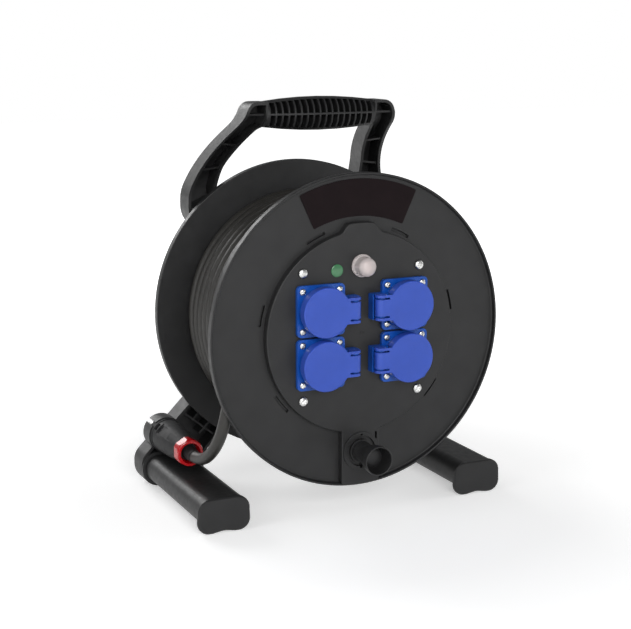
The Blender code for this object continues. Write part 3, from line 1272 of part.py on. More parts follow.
def foot_drill(side, low, radius, high):
    place = Matrix.Translation((side * FOOT_X, FOOT_SCREW_Y, 0.0)) @ UPRIGHT
    return rod("drill", radius, low, high, ROUND_SMALL, (0.0, 0.0), place)


# ---------------------------------------------------------------- feet
def ring_at(outline, y):
    return [(x, y, z) for x, z in outline]


def make_feet(tube_look, cap_look, steel, parent):
    rear = FRAME_REAR_Y - FRAME_WALL - FIT_GAP
    inner_width, inner_height = TUBE_WIDTH - 2 * TUBE_WALL, TUBE_HEIGHT - 2 * TUBE_WALL
    inner_corner = TUBE_CORNER - TUBE_WALL
    names = {-1: "left", 1: "right"}
    for side, word in names.items():
        centre = (side * FOOT_X, TUBE_CENTRE_Z)
        outer = box_outline(TUBE_WIDTH, TUBE_HEIGHT, TUBE_CORNER, centre)
        inner = box_outline(inner_width, inner_height, inner_corner, centre)
        rings = [ring_at(inner, TUBE_FRONT_Y), ring_at(outer, TUBE_FRONT_Y),
                 ring_at(outer, rear), ring_at(inner, rear)]
        body = skin("tube", rings, True)
        carve(body, [foot_drill(side, FLOOR_Z, FOOT_SCREW_RADIUS + FIT_GAP, TUBE_CENTRE_Z)])
        finish(body, f"foot_tube_{word}", tube_look, parent)
        finish(make_foot_cap(centre, inner), f"foot_cap_{word}", cap_look, parent)
        finish(make_foot_screw(side), f"tube_screw_{word}", steel, parent)


def make_foot_cap(centre, tube_inner):
    """End cap with two lobes that stand on the floor."""
    half = CAP_WIDTH / 2
    x = centre[0]
    corners = ((x - half, CAP_TOP_Z, CAP_TOP_CORNER), (x - half + CAP_WAIST, TUBE_CENTRE_Z, CAP_WAIST_CORNER),
               (x - half, FLOOR_Z, CAP_CORNER),
               (x - CAP_LOBE_END, FLOOR_Z, CAP_LOBE_CORNER), (x, FLOOR_Z + CAP_DIP, CAP_DIP_CORNER),
               (x + CAP_LOBE_END, FLOOR_Z, CAP_LOBE_CORNER),
               (x + half, FLOOR_Z, CAP_CORNER), (x + half - CAP_WAIST, TUBE_CENTRE_Z, CAP_WAIST_CORNER),
               (x + half, CAP_TOP_Z, CAP_TOP_CORNER))
    outline = rounded(corners, math.radians(36))
    rear = TUBE_FRONT_Y - FIT_GAP
    front = rear - CAP_PLATE
    rings = [ring_at(grown(outline, -CAP_EDGE), front), ring_at(outline, front + CAP_EDGE),
             ring_at(outline, rear)]
    plate = skin("cap", rings)
    plug = prism("plug", grown(tube_inner, -FIT_GAP), rear - REACH, rear + CAP_PLUG_DEPTH)
    return join(plate, [plug])


def make_foot_screw(side):
    """Screw from below through the collar into the tube."""
    low = FLOOR_Z + FOOT_SCREW_RECESS - FIT_GAP - FOOT_SCREW_HEAD_THICK
    seat = low + FOOT_SCREW_HEAD_THICK
    profile = ((0, low), (FOOT_SCREW_HEAD, low), (FOOT_SCREW_HEAD, seat), (FOOT_SCREW_RADIUS, seat),
               (FOOT_SCREW_RADIUS, low + FOOT_SCREW_LENGTH), (0, low + FOOT_SCREW_LENGTH))
    place = Matrix.Translation((side * FOOT_X, FOOT_SCREW_Y, 0.0)) @ UPRIGHT
    return turned("screw", profile, ROUND_SMALL, (0.0, 0.0), place)


# ---------------------------------------------------------------- plug
def pin_place(side):
    return (side * CONTACT_PITCH / 2 * math.cos(PIN_LINE), side * CONTACT_PITCH / 2 * math.sin(PIN_LINE))


def make_plug(looks, parent):
    place = (PLUG_X, 0.0, PLUG_Z)
    carrier_radius = HOLDER_RADIUS - HOLDER_WALL - FIT_GAP
    front = CARRIER_FRONT_Y
    shoulder = front + CARRIER_FLANGE_THICK
    profile = ((0, front), (CARRIER_FLANGE_RADIUS, front), (CARRIER_FLANGE_RADIUS, shoulder),
               (carrier_radius, shoulder), (carrier_radius, CARRIER_REAR_Y), (0, CARRIER_REAR_Y))
    carrier = turned("carrier", profile, ROUND_MIDDLE)
    seats = []
    for side in (-1, 1):
        seats.append(rod("seat", PIN_RADIUS + FIT_GAP, CARRIER_REAR_Y - PIN_SEAT, CARRIER_REAR_Y + REACH,
                         ROUND_SMALL, pin_place(side)))
    carve(carrier, seats)
    finish(carrier, "plug_contact_carrier", looks["rubber black"], parent).location = place

    for number, side in ((1, -1), (2, 1)):
        front = CARRIER_REAR_Y - PIN_SEAT + FIT_GAP
        tip = CARRIER_REAR_Y + PIN_LENGTH
        profile = ((0, front), (PIN_RADIUS, front), (PIN_RADIUS, tip - PIN_RADIUS / 2),
                   (PIN_RADIUS / 2, tip), (0, tip))
        pin = finish(turned("pin", profile, ROUND_SMALL), f"plug_pin_{number}", looks["steel"], parent)
        x, z = pin_place(side)
        pin.location = (PLUG_X + x, 0.0, PLUG_Z + z)

    finish(make_plug_body(), "plug_body", looks["rubber black"], parent).location = place
    across = math.cos(PIN_LINE) * PLUG_SCREW_OFFSET, math.sin(PIN_LINE) * PLUG_SCREW_OFFSET
    head = PLUG_BODY_REAR_Y - PLUG_NOTCH_LENGTH + FIT_GAP
    thick = PLUG_NOTCH_LENGTH - 2 * FIT_GAP
    screw = rod("screw", PLUG_SCREW_HEAD, head, head + thick, ROUND_SMALL)
    screw = finish(screw, "plug_screw", looks["steel"], parent)
    screw.location = (PLUG_X + across[0], 0.0, PLUG_Z + across[1])

    front = GLAND_NUT_FRONT_Y
    rear = front + GLAND_NUT_LENGTH
    nut = rod("nut", GLAND_NUT_FLATS / 2 / math.cos(math.pi / 6), front + GLAND_NUT_CHAMFER, rear, 6)
    join(nut, [rod("rim", GLAND_NUT_RIM, front, rear - REACH, ROUND_MIDDLE)])
    carve(nut, [rod("bore", GLAND_BORE, front - REACH, rear - GLAND_NUT_FLOOR, ROUND_MIDDLE)])
    finish(nut, "gland_nut", looks["nut red"], parent).location = place

    insert = rod("insert", GLAND_BORE - FIT_GAP, front + GLAND_INSERT_SETBACK,
                 rear - GLAND_NUT_FLOOR - FIT_GAP, ROUND_MIDDLE)
    finish(insert, "gland_insert", looks["rubber black"], parent).location = place


def make_plug_body():
    """Tapered body with two flats; the badge recess is bare, the notch shows a screw."""
    front, rear = PLUG_BODY_FRONT_Y, PLUG_BODY_REAR_Y
    shoulder = front + 0.006
    swell = front + 0.024
    profile = ((0, front), (PLUG_BODY_FRONT_RADIUS - 0.0015, front), (PLUG_BODY_FRONT_RADIUS, front + 0.0015),
               (PLUG_BODY_FRONT_RADIUS, shoulder), (PLUG_BODY_REAR_RADIUS - 0.0012, swell),
               (PLUG_BODY_REAR_RADIUS, rear - 0.006), (PLUG_BODY_REAR_RADIUS, rear), (0, rear))
    body = turned("plug", profile, ROUND_MIDDLE)
    turn = Matrix.Rotation(-PIN_LINE, 4, "Y")
    cuts = []
    flat = PLUG_BODY_REAR_RADIUS - PLUG_BADGE_FLAT
    notch = PLUG_SCREW_OFFSET - PLUG_SCREW_HEAD - FIT_GAP
    outside = 2 * PLUG_BODY_REAR_RADIUS
    flat_rear = rear - PLUG_NOTCH_LENGTH - 0.002
    badge_rear = flat_rear - 0.002
    badge_front = badge_rear - PLUG_BADGE_LENGTH
    cuts.append(turned_block(turn, (flat, outside), (swell - 0.006, flat_rear), outside))
    cuts.append(turned_block(turn, (flat - PLUG_BADGE_DEPTH, outside), (badge_front, badge_rear),
                             PLUG_BADGE_WIDTH))
    cuts.append(turned_block(turn, (notch, outside), (rear - PLUG_NOTCH_LENGTH, rear + REACH),
                             PLUG_NOTCH_WIDTH))
    return carve(body, cuts)


def turned_block(turn, x_range, y_range, width):
    """Box cutter along one direction from the plug's axis."""
    near, far = x_range
    half = width / 2
    outline = [(near, -half), (far, -half), (far, half), (near, half)]
    return prism("cut", outline, y_range[0], y_range[1], turn)


# ---------------------------------------------------------------- assembly
def main():
    for old in list(bpy.data.objects):
        bpy.data.objects.remove(old, do_unlink=True)
    looks = {
        "black": material("black plastic", (0.043, 0.043, 0.043), 0.45),
        "flange": material("flange plastic", (0.048, 0.048, 0.048), 0.42),
        "rubber black": material("rubber black", (0.020, 0.020, 0.022), 0.6),
        "label": material("label black", (0.010, 0.004, 0.006), 0.35),
        "lid blue": material("lid blue", (0.045, 0.095, 0.50), 0.35),
        "base blue": material("base blue", (0.004, 0.060, 0.42), 0.35),
        "nut red": material("nut red", (0.50, 0.002, 0.008), 0.35),
        "lamp green": material("lamp green", (0.055, 0.30, 0.10), 0.25),
        "clear": material("clear rubber", (0.55, 0.46, 0.47), 0.2),
        "button white": material("button white", (0.70, 0.68, 0.66), 0.4),
        "cord": material("cord rubber", (0.070, 0.068, 0.062), 0.65),
        "steel": material("bright steel", (0.62, 0.62, 0.61), 0.3, 1.0),
        "bronze": material("sintered bronze", (0.45, 0.30, 0.13), 0.45, 1.0),
        "grey": material("housing grey", (0.22, 0.22, 0.22), 0.5),
    }
    stand = bpy.data.objects.new("drum axis", None)
    stand.location = (0.0, ORIGIN_Y, AXLE_HEIGHT)
    bpy.context.scene.collection.objects.link(stand)

    make_frame(looks["black"], stand)
    make_feet(looks["black"], looks["black"], looks["steel"], stand)
    make_axle(looks["steel"], stand)
    make_axle_fittings(looks["steel"], looks["bronze"], stand, stand)
    make_plug(looks, stand)
    make_free_cord(looks["cord"], stand)

    make_front_flange(looks["flange"], stand)
    make_rear_flange(looks["flange"], stand)
    make_barrel(looks["flange"], stand)
    make_inner_layers(looks["cord"], stand)
    make_winding(looks["cord"], stand)
    make_panel(looks["flange"], stand)
    make_panel_screws(looks["steel"], stand)
    make_label_plate(looks["label"], stand)
    make_chamber(looks["grey"], stand)
    make_chamber_gland(looks["grey"], stand)
    make_sockets(looks, stand)
    make_lamp(looks["lamp green"], stand)
    make_breaker(looks["grey"], stand)
    make_button(looks["button white"], stand)
    make_boot(looks["clear"], stand)
    make_knob_seat(looks["black"], stand)
    make_knob(looks["black"], stand)
    make_knob_axle(looks["steel"], stand)


main()
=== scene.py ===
"""Looks of the portable extension cord reel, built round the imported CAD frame.

Places are in drum coordinates (origin on the drum axis in the plane of the front rim), which
DRUM carries into the frame of the CAD. All lengths are in metres.
"""
import json
from contextlib import contextmanager
from math import acos, asin, cos, pi, radians, sin, sqrt, tan

import bmesh
import bpy
from mathutils import Matrix, Vector


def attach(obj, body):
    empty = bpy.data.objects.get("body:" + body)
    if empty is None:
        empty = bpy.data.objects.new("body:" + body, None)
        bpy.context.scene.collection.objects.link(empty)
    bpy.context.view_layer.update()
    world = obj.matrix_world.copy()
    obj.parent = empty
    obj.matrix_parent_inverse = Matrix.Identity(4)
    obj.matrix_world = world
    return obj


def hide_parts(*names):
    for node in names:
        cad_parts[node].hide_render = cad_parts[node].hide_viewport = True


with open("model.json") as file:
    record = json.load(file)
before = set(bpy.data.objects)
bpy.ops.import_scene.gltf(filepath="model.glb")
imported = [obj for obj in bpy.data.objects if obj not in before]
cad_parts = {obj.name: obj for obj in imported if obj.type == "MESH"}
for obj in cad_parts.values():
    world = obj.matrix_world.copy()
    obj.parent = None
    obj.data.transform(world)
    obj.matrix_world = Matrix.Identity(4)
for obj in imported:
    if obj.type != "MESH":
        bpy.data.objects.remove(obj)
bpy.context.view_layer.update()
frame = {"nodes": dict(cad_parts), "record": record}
NODES = frame["nodes"]
DRUM = Vector((0.0, -0.0765, 0.1857))
LOOKS = {}  # materials by slot

# ---------------------------------------------------------------- camera, floor and light
CAMERA_PLACE = (-0.607224, -1.279615, 0.473525)
CAMERA_TILT = radians(78.64)
CAMERA_TURN = radians(-24.937)
CAMERA_LENS = 80.87  # mm, on a 36 mm sensor
WHITE = (1.0, 1.0, 1.0, 1.0)
GRAIN_DEPTH = 0.0002  # of the bump in every surface


def make_camera():
    data = bpy.data.cameras.new("camera")
    data.lens = CAMERA_LENS
    data.sensor_width = 36.0
    data.clip_start = 0.01
    camera = bpy.data.objects.new("camera", data)
    camera.location = CAMERA_PLACE
    camera.rotation_euler = (CAMERA_TILT, 0.0, CAMERA_TURN)
    bpy.context.scene.collection.objects.link(camera)
    bpy.context.scene.camera = camera


def feed(tree, node, inputs):
    """Give each named input its value, or the socket that feeds it."""
    for name, value in inputs.items():
        if isinstance(value, bpy.types.NodeSocket):
            tree.links.new(value, node.inputs[name])
        else:
            node.inputs[name].default_value = value


def add_node(tree, kind, inputs=None, **settings):
    """New shader node with its settings made before its inputs are fed."""
    node = tree.nodes.new("ShaderNode" + kind)
    for name, value in settings.items():
        setattr(node, name, value)
    feed(tree, node, inputs or {})
    return node


def fine_noise(tree, place, scale, detail=4.0, rough=0.6):
    inputs = {"Scale": scale, "Detail": detail, "Roughness": rough, "Vector": place}
    return add_node(tree, "TexNoise", inputs).outputs["Fac"]


def spread(tree, value, low, high, from_low=0.3, from_high=0.7):
    inputs = {"From Min": from_low, "From Max": from_high, "To Min": low, "To Max": high,
              "Value": value}
    return add_node(tree, "MapRange", inputs).outputs["Result"]


def camera_side(tree):
    """1 where the background is seen directly, in a reflection or through glass."""
    path = add_node(tree, "LightPath").outputs
    total = path["Is Camera Ray"]
    for kind in ("Is Glossy Ray", "Is Transmission Ray"):
        total = add_node(tree, "Math", {0: total, 1: path[kind]}, operation="MAXIMUM").outputs[0]
    return total


def make_world(low=0.46, high=0.10):
    """White where the camera sees it; as a light it fades from the horizon to the zenith."""
    world = bpy.data.worlds.new("studio")
    bpy.context.scene.world = world
    world.use_nodes = True
    tree = world.node_tree
    tree.nodes.clear()
    seen = add_node(tree, "Background", {"Strength": 1.0, "Color": WHITE})
    way = add_node(tree, "SeparateXYZ", {0: add_node(tree, "TexCoord").outputs["Generated"]})
    fade = spread(tree, way.outputs["Z"], low, high, 0.0, 0.9)
    light = add_node(tree, "Background", {"Strength": fade, "Color": (0.98, 0.99, 1.0, 1.0)})
    path = add_node(tree, "LightPath")
    mix = add_node(tree, "MixShader", {0: path.outputs["Is Camera Ray"], 1: light.outputs[0],
                                       2: seen.outputs[0]})
    add_node(tree, "OutputWorld", {"Surface": mix.outputs[0]})


def make_floor(size=6.0, near=0.42, far=1.0):
    """Pale floor that keeps the soft shadow near the object and is plain white farther off."""
    mesh = bpy.data.meshes.new("floor")
    shape = bmesh.new()
    bmesh.ops.create_grid(shape, x_segments=2, y_segments=2, size=size)
    shape.to_mesh(mesh)
    shape.free()
    floor = bpy.data.objects.new("floor", mesh)
    floor.location = (0.0, 0.0, -0.0002)
    bpy.context.scene.collection.objects.link(floor)
    look = bpy.data.materials.new("floor_white")
    look.use_nodes = True
    tree = look.node_tree
    tree.nodes.clear()
    place = add_node(tree, "TexCoord").outputs["Object"]
    reach = add_node(tree, "VectorMath", {0: place}, operation="LENGTH")
    fade = spread(tree, reach.outputs["Value"], near, far, 0.25, 1.00)
    strength = add_node(tree, "Math", {0: camera_side(tree), 1: fade}, operation="MULTIPLY")
    paint = add_node(tree, "BsdfDiffuse", {"Color": (0.86, 0.86, 0.86, 1.0)})
    glow = add_node(tree, "Emission", {"Color": WHITE, "Strength": strength.outputs[0]})
    both = add_node(tree, "AddShader", {0: paint.outputs[0], 1: glow.outputs[0]})
    add_node(tree, "OutputMaterial", {"Surface": both.outputs[0]})
    mesh.materials.append(look)


def make_lamp_light(name, place, aim, size, power):
    data = bpy.data.lights.new(name, "AREA")
    data.shape = "RECTANGLE"
    data.size, data.size_y = size
    data.energy = power
    lamp = bpy.data.objects.new(name, data)
    lamp.location = place
    lamp.rotation_euler = (Vector(aim) - Vector(place)).to_track_quat("-Z", "Y").to_euler()
    bpy.context.scene.collection.objects.link(lamp)


def make_studio():
    bpy.context.scene.view_settings.view_transform = "Standard"
    make_camera()
    make_world()
    make_floor()
    middle = (0.0, 0.0, 0.2)
    make_lamp_light("back_left", (-0.7, 2.3, 1.3), middle, (1.5, 0.9), 30.0)
    make_lamp_light("left", (-2.3, -0.4, 1.1), middle, (1.2, 1.6), 14.0)
    make_lamp_light("front", (-0.6, -2.7, 1.2), middle, (1.6, 1.2), 50.0)
    make_lamp_light("right", (2.2, -0.3, 1.0), middle, (1.0, 1.4), 8.0)


# ---------------------------------------------------------------- materials
def surface(name, dark, light, rough, metallic=0.0, grain=(2600.0, 0.10), cloud=45.0, **sockets):
    """A surface that clouds between two tones, with uneven gloss and fine grain."""
    look = bpy.data.materials.new(name)
    look.use_nodes = True
    tree = look.node_tree
    place = add_node(tree, "TexCoord").outputs["Object"]
    clouds = spread(tree, fine_noise(tree, place, cloud, 5.0, 0.62), 0.0, 1.0)
    tone = add_node(tree, "Mix", {0: clouds, 6: (*dark, 1.0), 7: (*light, 1.0)}, data_type="RGBA")
    gloss = spread(tree, fine_noise(tree, place, cloud * 4.0, 3.0), *rough)
    pits = fine_noise(tree, place, grain[0], 2.0, 0.5)
    bump = add_node(tree, "Bump", {"Strength": grain[1], "Distance": GRAIN_DEPTH, "Height": pits})
    inputs = {"Base Color": tone.outputs[2], "Roughness": gloss, "Metallic": metallic,
              "Normal": bump.outputs["Normal"]}
    inputs.update({socket.replace("_", " "): value for socket, value in sockets.items()})
    feed(tree, tree.nodes["Principled BSDF"], inputs)
    return look


def make_looks():
    LOOKS.update(
        black_plastic=surface("moulded_black", (0.0150, 0.0150, 0.0155), (0.0210, 0.0210, 0.0215),
                              (0.42, 0.54), Specular_IOR_Level=0.34),
        cord_rubber=surface("cord_sheath", (0.017, 0.016, 0.014), (0.028, 0.0265, 0.0235),
                            (0.40, 0.54), grain=(1500.0, 0.20), cloud=120.0,
                            Specular_IOR_Level=0.45),
        plug_rubber=surface("plug_sheath", (0.012, 0.012, 0.0125), (0.019, 0.019, 0.020),
                            (0.54, 0.68), grain=(1800.0, 0.16), Specular_IOR_Level=0.24),
        red_plastic=surface("nut_red", (0.38, 0.0010, 0.0040), (0.52, 0.0020, 0.0070), (0.22, 0.30),
                            grain=(2600.0, 0.04)),
        steel=surface("zinc_plate", (0.52, 0.52, 0.51), (0.72, 0.72, 0.71), (0.20, 0.34),
                      metallic=1.0, grain=(900.0, 0.06), cloud=160.0),
        bright_steel=surface("nickel_plate", (0.80, 0.80, 0.79), (0.92, 0.92, 0.91), (0.46, 0.60),
                             metallic=1.0, grain=(900.0, 0.04), cloud=160.0),
        label_film=surface("bare_label_film", (0.0055, 0.0022, 0.0030), (0.0080, 0.0035, 0.0045),
                           (0.30, 0.40), grain=(1200.0, 0.04), Specular_IOR_Level=0.10),
        bronze=surface("sintered_bronze", (0.36, 0.22, 0.09), (0.52, 0.34, 0.15), (0.34, 0.50),
                       metallic=1.0, grain=(2200.0, 0.30)),
        grey_plastic=surface("contact_grey", (0.17, 0.17, 0.175), (0.24, 0.24, 0.245),
                             (0.40, 0.52)),
        green_lens=surface("lens_green", (0.045, 0.20, 0.080), (0.085, 0.29, 0.13), (0.12, 0.22),
                           grain=(700.0, 0.10), Transmission_Weight=0.25),
        clear_boot=surface("boot_silicone", (0.88, 0.80, 0.79), (0.95, 0.90, 0.89), (0.16, 0.26),
                           grain=(600.0, 0.02), Transmission_Weight=0.60, IOR=1.41),
        white_plastic=surface("button_white", (0.72, 0.56, 0.54), (0.82, 0.68, 0.66), (0.34, 0.44),
                              grain=(2600.0, 0.03)),
        blue_plastic=surface("socket_blue", (0.003, 0.060, 0.34), (0.005, 0.084, 0.43),
                             (0.28, 0.38), grain=(3200.0, 0.03), Specular_IOR_Level=0.40),
        lid_blue=surface("lid_blue_face", (0.026, 0.072, 0.42), (0.034, 0.086, 0.48), (0.28, 0.38),
                         grain=(3200.0, 0.03), Specular_IOR_Level=0.40))


def slot_of(record, node):
    for part in record["subparts"]:
        if part.get("node") == node or node in part.get("nodes", ()):
            return part.get("material_slot")
    return None


# ---------------------------------------------------------------- driving dimensions
FIT_GAP = 0.0003  # clearance between touching pieces
RUN_GAP = 0.0006  # clearance of pieces that turn or slide
HAIR = 0.0001  # keeps neighbouring faces apart
REACH = 0.001  # cutters pass this far beyond what they cut

# drum
AXLE_HEIGHT = 0.1857  # drum axis above the floor
FLANGE_RADIUS = 0.155
LIP_WALL = 0.0022
LIP_DEPTH = 0.005  # the flange face lies this far behind its rim
FLANGE_PLATE = 0.003
LIP_ROUND = 0.0008
RIM_FOOT = 0.0016  # fillet between a flange's face and its lip
DRUM_WIDTH = 0.1617  # front rim plane to rear rim plane
OPENING_LEDGE = 0.0109  # front flange inside the barrel's skin, behind the panel
BARREL_RADIUS = 0.1059
BARREL_WALL = 0.003
HOOK_COUNT = 7
HOOK_LENGTH = 0.0181
HOOK_WALL = 0.0012
SLOT_LENGTH = 0.0207
SLOT_WIDTH = 0.0028
HOOK_SETBACK = 0.0026  # hook tips lie this far under the flange's face, out of the light
SCREW_SETBACK = 0.0117  # panel screws inside the panel's edge
SCREW_PLACE_Z = 0.0623  # panel screw pattern, half its height
PILLAR_RADIUS = 0.0046
PILLAR_DEPTH = 0.040
PILLAR_WEB = 0.0025
REAR_RIB_COUNT = 10
REAR_RIB_WALL = 0.0022
REAR_RIB_OUTER = 0.100
REAR_RIB_HEIGHT = 0.004

# hub and axle
AXLE_RADIUS = 0.0099
AXLE_HEAD_RADIUS = 0.0155
AXLE_HEAD_DEPTH = 0.0035
HUB_RADIUS = 0.0185
HUB_LENGTH = 0.0605
HUB_PROUD = 0.0028  # hub beyond the rear rim
HUB_BORE = 0.0136

# socket panel
PANEL_SETBACK = 0.0061  # panel's edge inside the barrel's skin
PANEL_FRONT_Y = -0.003
PANEL_WALL = 0.003
PANEL_CHAMFER = 0.0012
BUMP_HALF_WIDTH = 0.0172
BUMP_RISE = 0.0078
BUMP_FLARE = 0.011
ARM_HALF_WIDTH = 0.0205  # knob arm at 6 o'clock
ARM_END_SETBACK = 0.0015  # arm's end inside the flange's rim
ARM_SLIT_X = 0.0166
ARM_SLIT_RISE = 0.0138  # slit above the knob's axis
ARM_SLIT_LENGTH = 0.0076
ARM_SLIT_WIDTH = 0.0022
PANEL_SCREW_HEAD = 0.0045
PANEL_SCREW_RISE = 0.0024
PANEL_SCREW_SHANK = 0.0019
PANEL_SCREW_LENGTH = 0.022
DISH_GAP = 0.0008  # shallow dish round each panel screw
DISH_DEPTH = 0.0003
GATE_INNER = 0.0013  # moulding mark in the middle of the panel
GATE_OUTER = 0.0024
GATE_DEPTH = 0.0004

# label on the flange, left bare
LABEL_GAP = 0.0052  # label's inner edge over the panel's bump
LABEL_SETBACK = 0.0062  # label's outer edge inside the flange's rim
LABEL_HALF_ANGLE = radians(24.8)
LABEL_THICKNESS = 0.0005
LABEL_CORNER = 0.0016

# screws
SCREW_DOME = 0.65  # share of a screw head's rise that is domed
SLOT_TURN = 0.16  # first slot of a screw, in half turns
SLOT_SHARE = 0.26  # slot's width against the head's radius

# sockets
SOCKET_X = 0.045
SOCKET_Z = 0.026
SOCKET_PLATE = 0.050
SOCKET_PLATE_THICK = 0.004
SOCKET_PLATE_CORNER = 0.0045
SOCKET_COLLAR_RADIUS = 0.0224
SOCKET_COLLAR_FRONT_Y = -0.0203
SOCKET_WELL_RADIUS = 0.0195
SOCKET_BODY_RADIUS = 0.0208
SOCKET_BODY_REAR_Y = 0.022
INSERT_FRONT_Y = -0.0028
INSERT_REAR_Y = 0.016
CONTACT_PITCH = 0.019
CONTACT_HOLE_RADIUS = 0.0026
CONTACT_HOLE_DEPTH = 0.015
EARTH_NOTCH_WIDTH = 0.006
EARTH_NOTCH_DEPTH = 0.0022
SOCKET_SCREW_OFFSET = 0.0193
SOCKET_SCREW_HEAD = 0.0031
SOCKET_SCREW_BORE = 0.0016
SOCKET_BORE_DEPTH = 0.0026
SOCKET_SCREW_RISE = 0.0019
SOCKET_SCREW_SHANK = 0.0013
SOCKET_SCREW_LENGTH = 0.0024
SOCKET_DISH_DEPTH = 0.0005
SOCKET_DISH_GAP = 0.0004
HINGE_OVERLAP = 0.004  # hinge block into the plate
BRIDGE_OVERLAP = 0.006  # lid's bridge into the lid

# socket lids
LID_RADIUS = 0.0244
LID_FRONT_Y = -0.022
LID_SKIN = 0.0014
LID_SKIRT_REAR_Y = -0.0132
LID_SKIRT_WALL = 0.0014
HINGE_OFFSET = 0.031  # pin axis from the socket's centre line, towards the panel centre
HINGE_PIN_Y = -0.016
HINGE_PIN_RADIUS = 0.0012
KNUCKLE_RADIUS = 0.006
KNUCKLE_HALF_WIDTH = 0.0125
EAR_Z = 0.009
EAR_WALL = 0.0013
EAR_RADIUS = 0.0046
EAR_SLOT_LENGTH = 0.014
HINGE_BLOCK_REACH = 0.0068  # hinge block beyond the pin axis
HINGE_BLOCK_FRONT_Y = -0.0128

# pilot lamp and thermal cut-out
LAMP_X = -0.0267
LAMP_Z = 0.0626
LAMP_RADIUS = 0.00625
LAMP_RISE = 0.0012
LAMP_EDGE = 0.0003
LAMP_NECK_RADIUS = 0.0052
LAMP_REAR_Y = 0.014
BREAKER_Z = 0.0657
BOOT_BASE_RADIUS = 0.0112
BOOT_BASE_THICK = 0.0022
BOOT_RADIUS = 0.0092
BOOT_WALL = 0.0009
BOOT_EDGE = 0.0007
BOOT_FILLET = 0.0005
BOOT_DOME_SHARE = 0.6  # height of the dome against its radius
BOOT_TIP_Y = -0.0200
BREAKER_NECK_RADIUS = 0.0074
BREAKER_NECK_FRONT_Y = -0.0085
BREAKER_BODY_WIDTH = 0.030
BREAKER_BODY_HEIGHT = 0.014
BREAKER_BODY_REAR_Y = 0.034
BUTTON_RADIUS = 0.0056
BUTTON_FRONT_Y = -0.0160
BUTTON_REAR_Y = 0.004
BUTTON_TRAVEL = 0.0025
BUTTON_ROUND = 0.0016

# crank knob
KNOB_SETBACK = 0.036  # knob's axis inside the flange's rim
KNOB_TIP_Y = -0.043
KNOB_TIP_RADIUS = 0.0144
KNOB_WAIST_RADIUS = 0.0098
KNOB_BASE_RADIUS = 0.0106
KNOB_CUP_RADIUS = 0.0116
KNOB_CUP_DEPTH = 0.017
SEAT_RADIUS = 0.0192
SEAT_RISE = 0.0012
SEAT_GROOVE_OUTER = 0.0155
SEAT_GROOVE_INNER = 0.0120
SEAT_GROOVE_DEPTH = 0.0032
SEAT_NECK_RADIUS = 0.0170
SEAT_NOTCH_WIDTH = 0.0026
KNOB_SCREW_RADIUS = 0.0039
KNOB_SCREW_HEAD = 0.0072
KNOB_SCREW_HEAD_THICK = 0.0032
KNOB_LIP = 0.0013  # wall of the hollow knob at its mouth
KNOB_CAP_WALL = 0.0012
KNOB_CAP_RISE = 0.0022
KNOB_WAIST_HEIGHT = 0.010  # straight stretch over the base
KNOB_RIM_HEIGHT = 0.004
KNOB_EDGE = 0.0006
KNOB_MOUTH_DEPTH = 0.003
KNOB_CUP_ROUND = 0.0015

# cord
CORD_DIAMETER = 0.0118
WINDING_GAP = 0.0005  # air between neighbouring turns
WINDING_END_GAP = 0.0009  # air between the end turns and the flanges
LIFT_OFF_ANGLE = radians(170)  # the cord leaves the winding here in a straight run
LIFT_GAP = 0.0009  # air under the cord's straight run when it meets the free cord
INNER_LAYER_RADIUS = 0.1120  # centre line of the layer under the outer one
RAMP_TURNS = 0.16  # the cord climbs from the one layer to the other along this much of a turn
TURN_POINTS = 96
CORD_STEP = 0.006  # between points of the free cord

# carrying frame
FRAME_SPACE = 0.0083  # rear rim of the drum to the frame
FRAME_DEPTH = 0.026
FRAME_WALL = 0.003
FRAME_RIB = 0.002
FRAME_RIB_SETBACK = 0.004
BAR_TOP_Z = 0.2185
BAR_HEIGHT = 0.025
HANDLE_TOP_X = 0.0776
HANDLE_INNER_X = 0.062
SHOULDER_X = 0.113
SHOULDER_TOP_Z = 0.122
ARM_WIDTH = 0.036  # breadth of each slanting arm, square to its length
WAIST_X = 0.016  # where the outer lines of arm and leg would meet
ELBOW_X = 0.079
ELBOW_Z = 0.150
ELBOW_LOW_X = 0.0835
HOLE_TOP_RADIUS = 0.008
LEG_HUB_Z = -0.055  # where the inner lines of the legs would meet
FOOT_OUTER_X = 0.170
FOOT_INNER_X = 0.104
FOOT_LEG_INNER_X = 0.098  # inner corner of the leg above its foot
LEG_ARCH_RADIUS = 0.030
HANDLE_CORNER = 0.012
SHOULDER_CORNER = 0.050
SHOULDER_LOW_CORNER = 0.025
WAIST_CORNER = 0.050
FOOT_TOP_CORNER = 0.018
FOOT_OUTER_CORNER = 0.020
FOOT_INNER_CORNER = 0.012
LEG_INNER_CORNER = 0.010
HOLE_ELBOW_RADIUS = 0.040
HOLE_SIDE_RADIUS = 0.020
HOLE_FLOOR_RADIUS = 0.025
LEG_RIB_OFFSET = -0.008  # x plus z along the leg's outer long rib
LEG_RIB_X = (0.026, 0.112)
LEG_LOW_RIB_X = (0.010, 0.104)
ARM_RIB_X = (0.018, 0.090)
ANKLE_RIB = ((0.124, -0.108), (0.083, -0.142))
SHOULDER_RIB = ((0.113, 0.104), (0.078, 0.121))
ELBOW_RIB = ((0.106, 0.146), (0.074, 0.150))
WRIST_RIB = ((0.096, 0.176), (0.064, 0.172))
FRAME_HUB_RADIUS = 0.030
FRAME_HUB_GAP = 0.001  # drum's hub to the frame's hub

# the arms lean forward from here to carry the bar over the drum
LEAN_START_Z = 0.118
LEAN_KNEE_Z = 0.193  # the lean is steepest here
LEAN_END_Z = 0.210
HANDLE_FORWARD = 0.084
LEAN_STEPS = 24

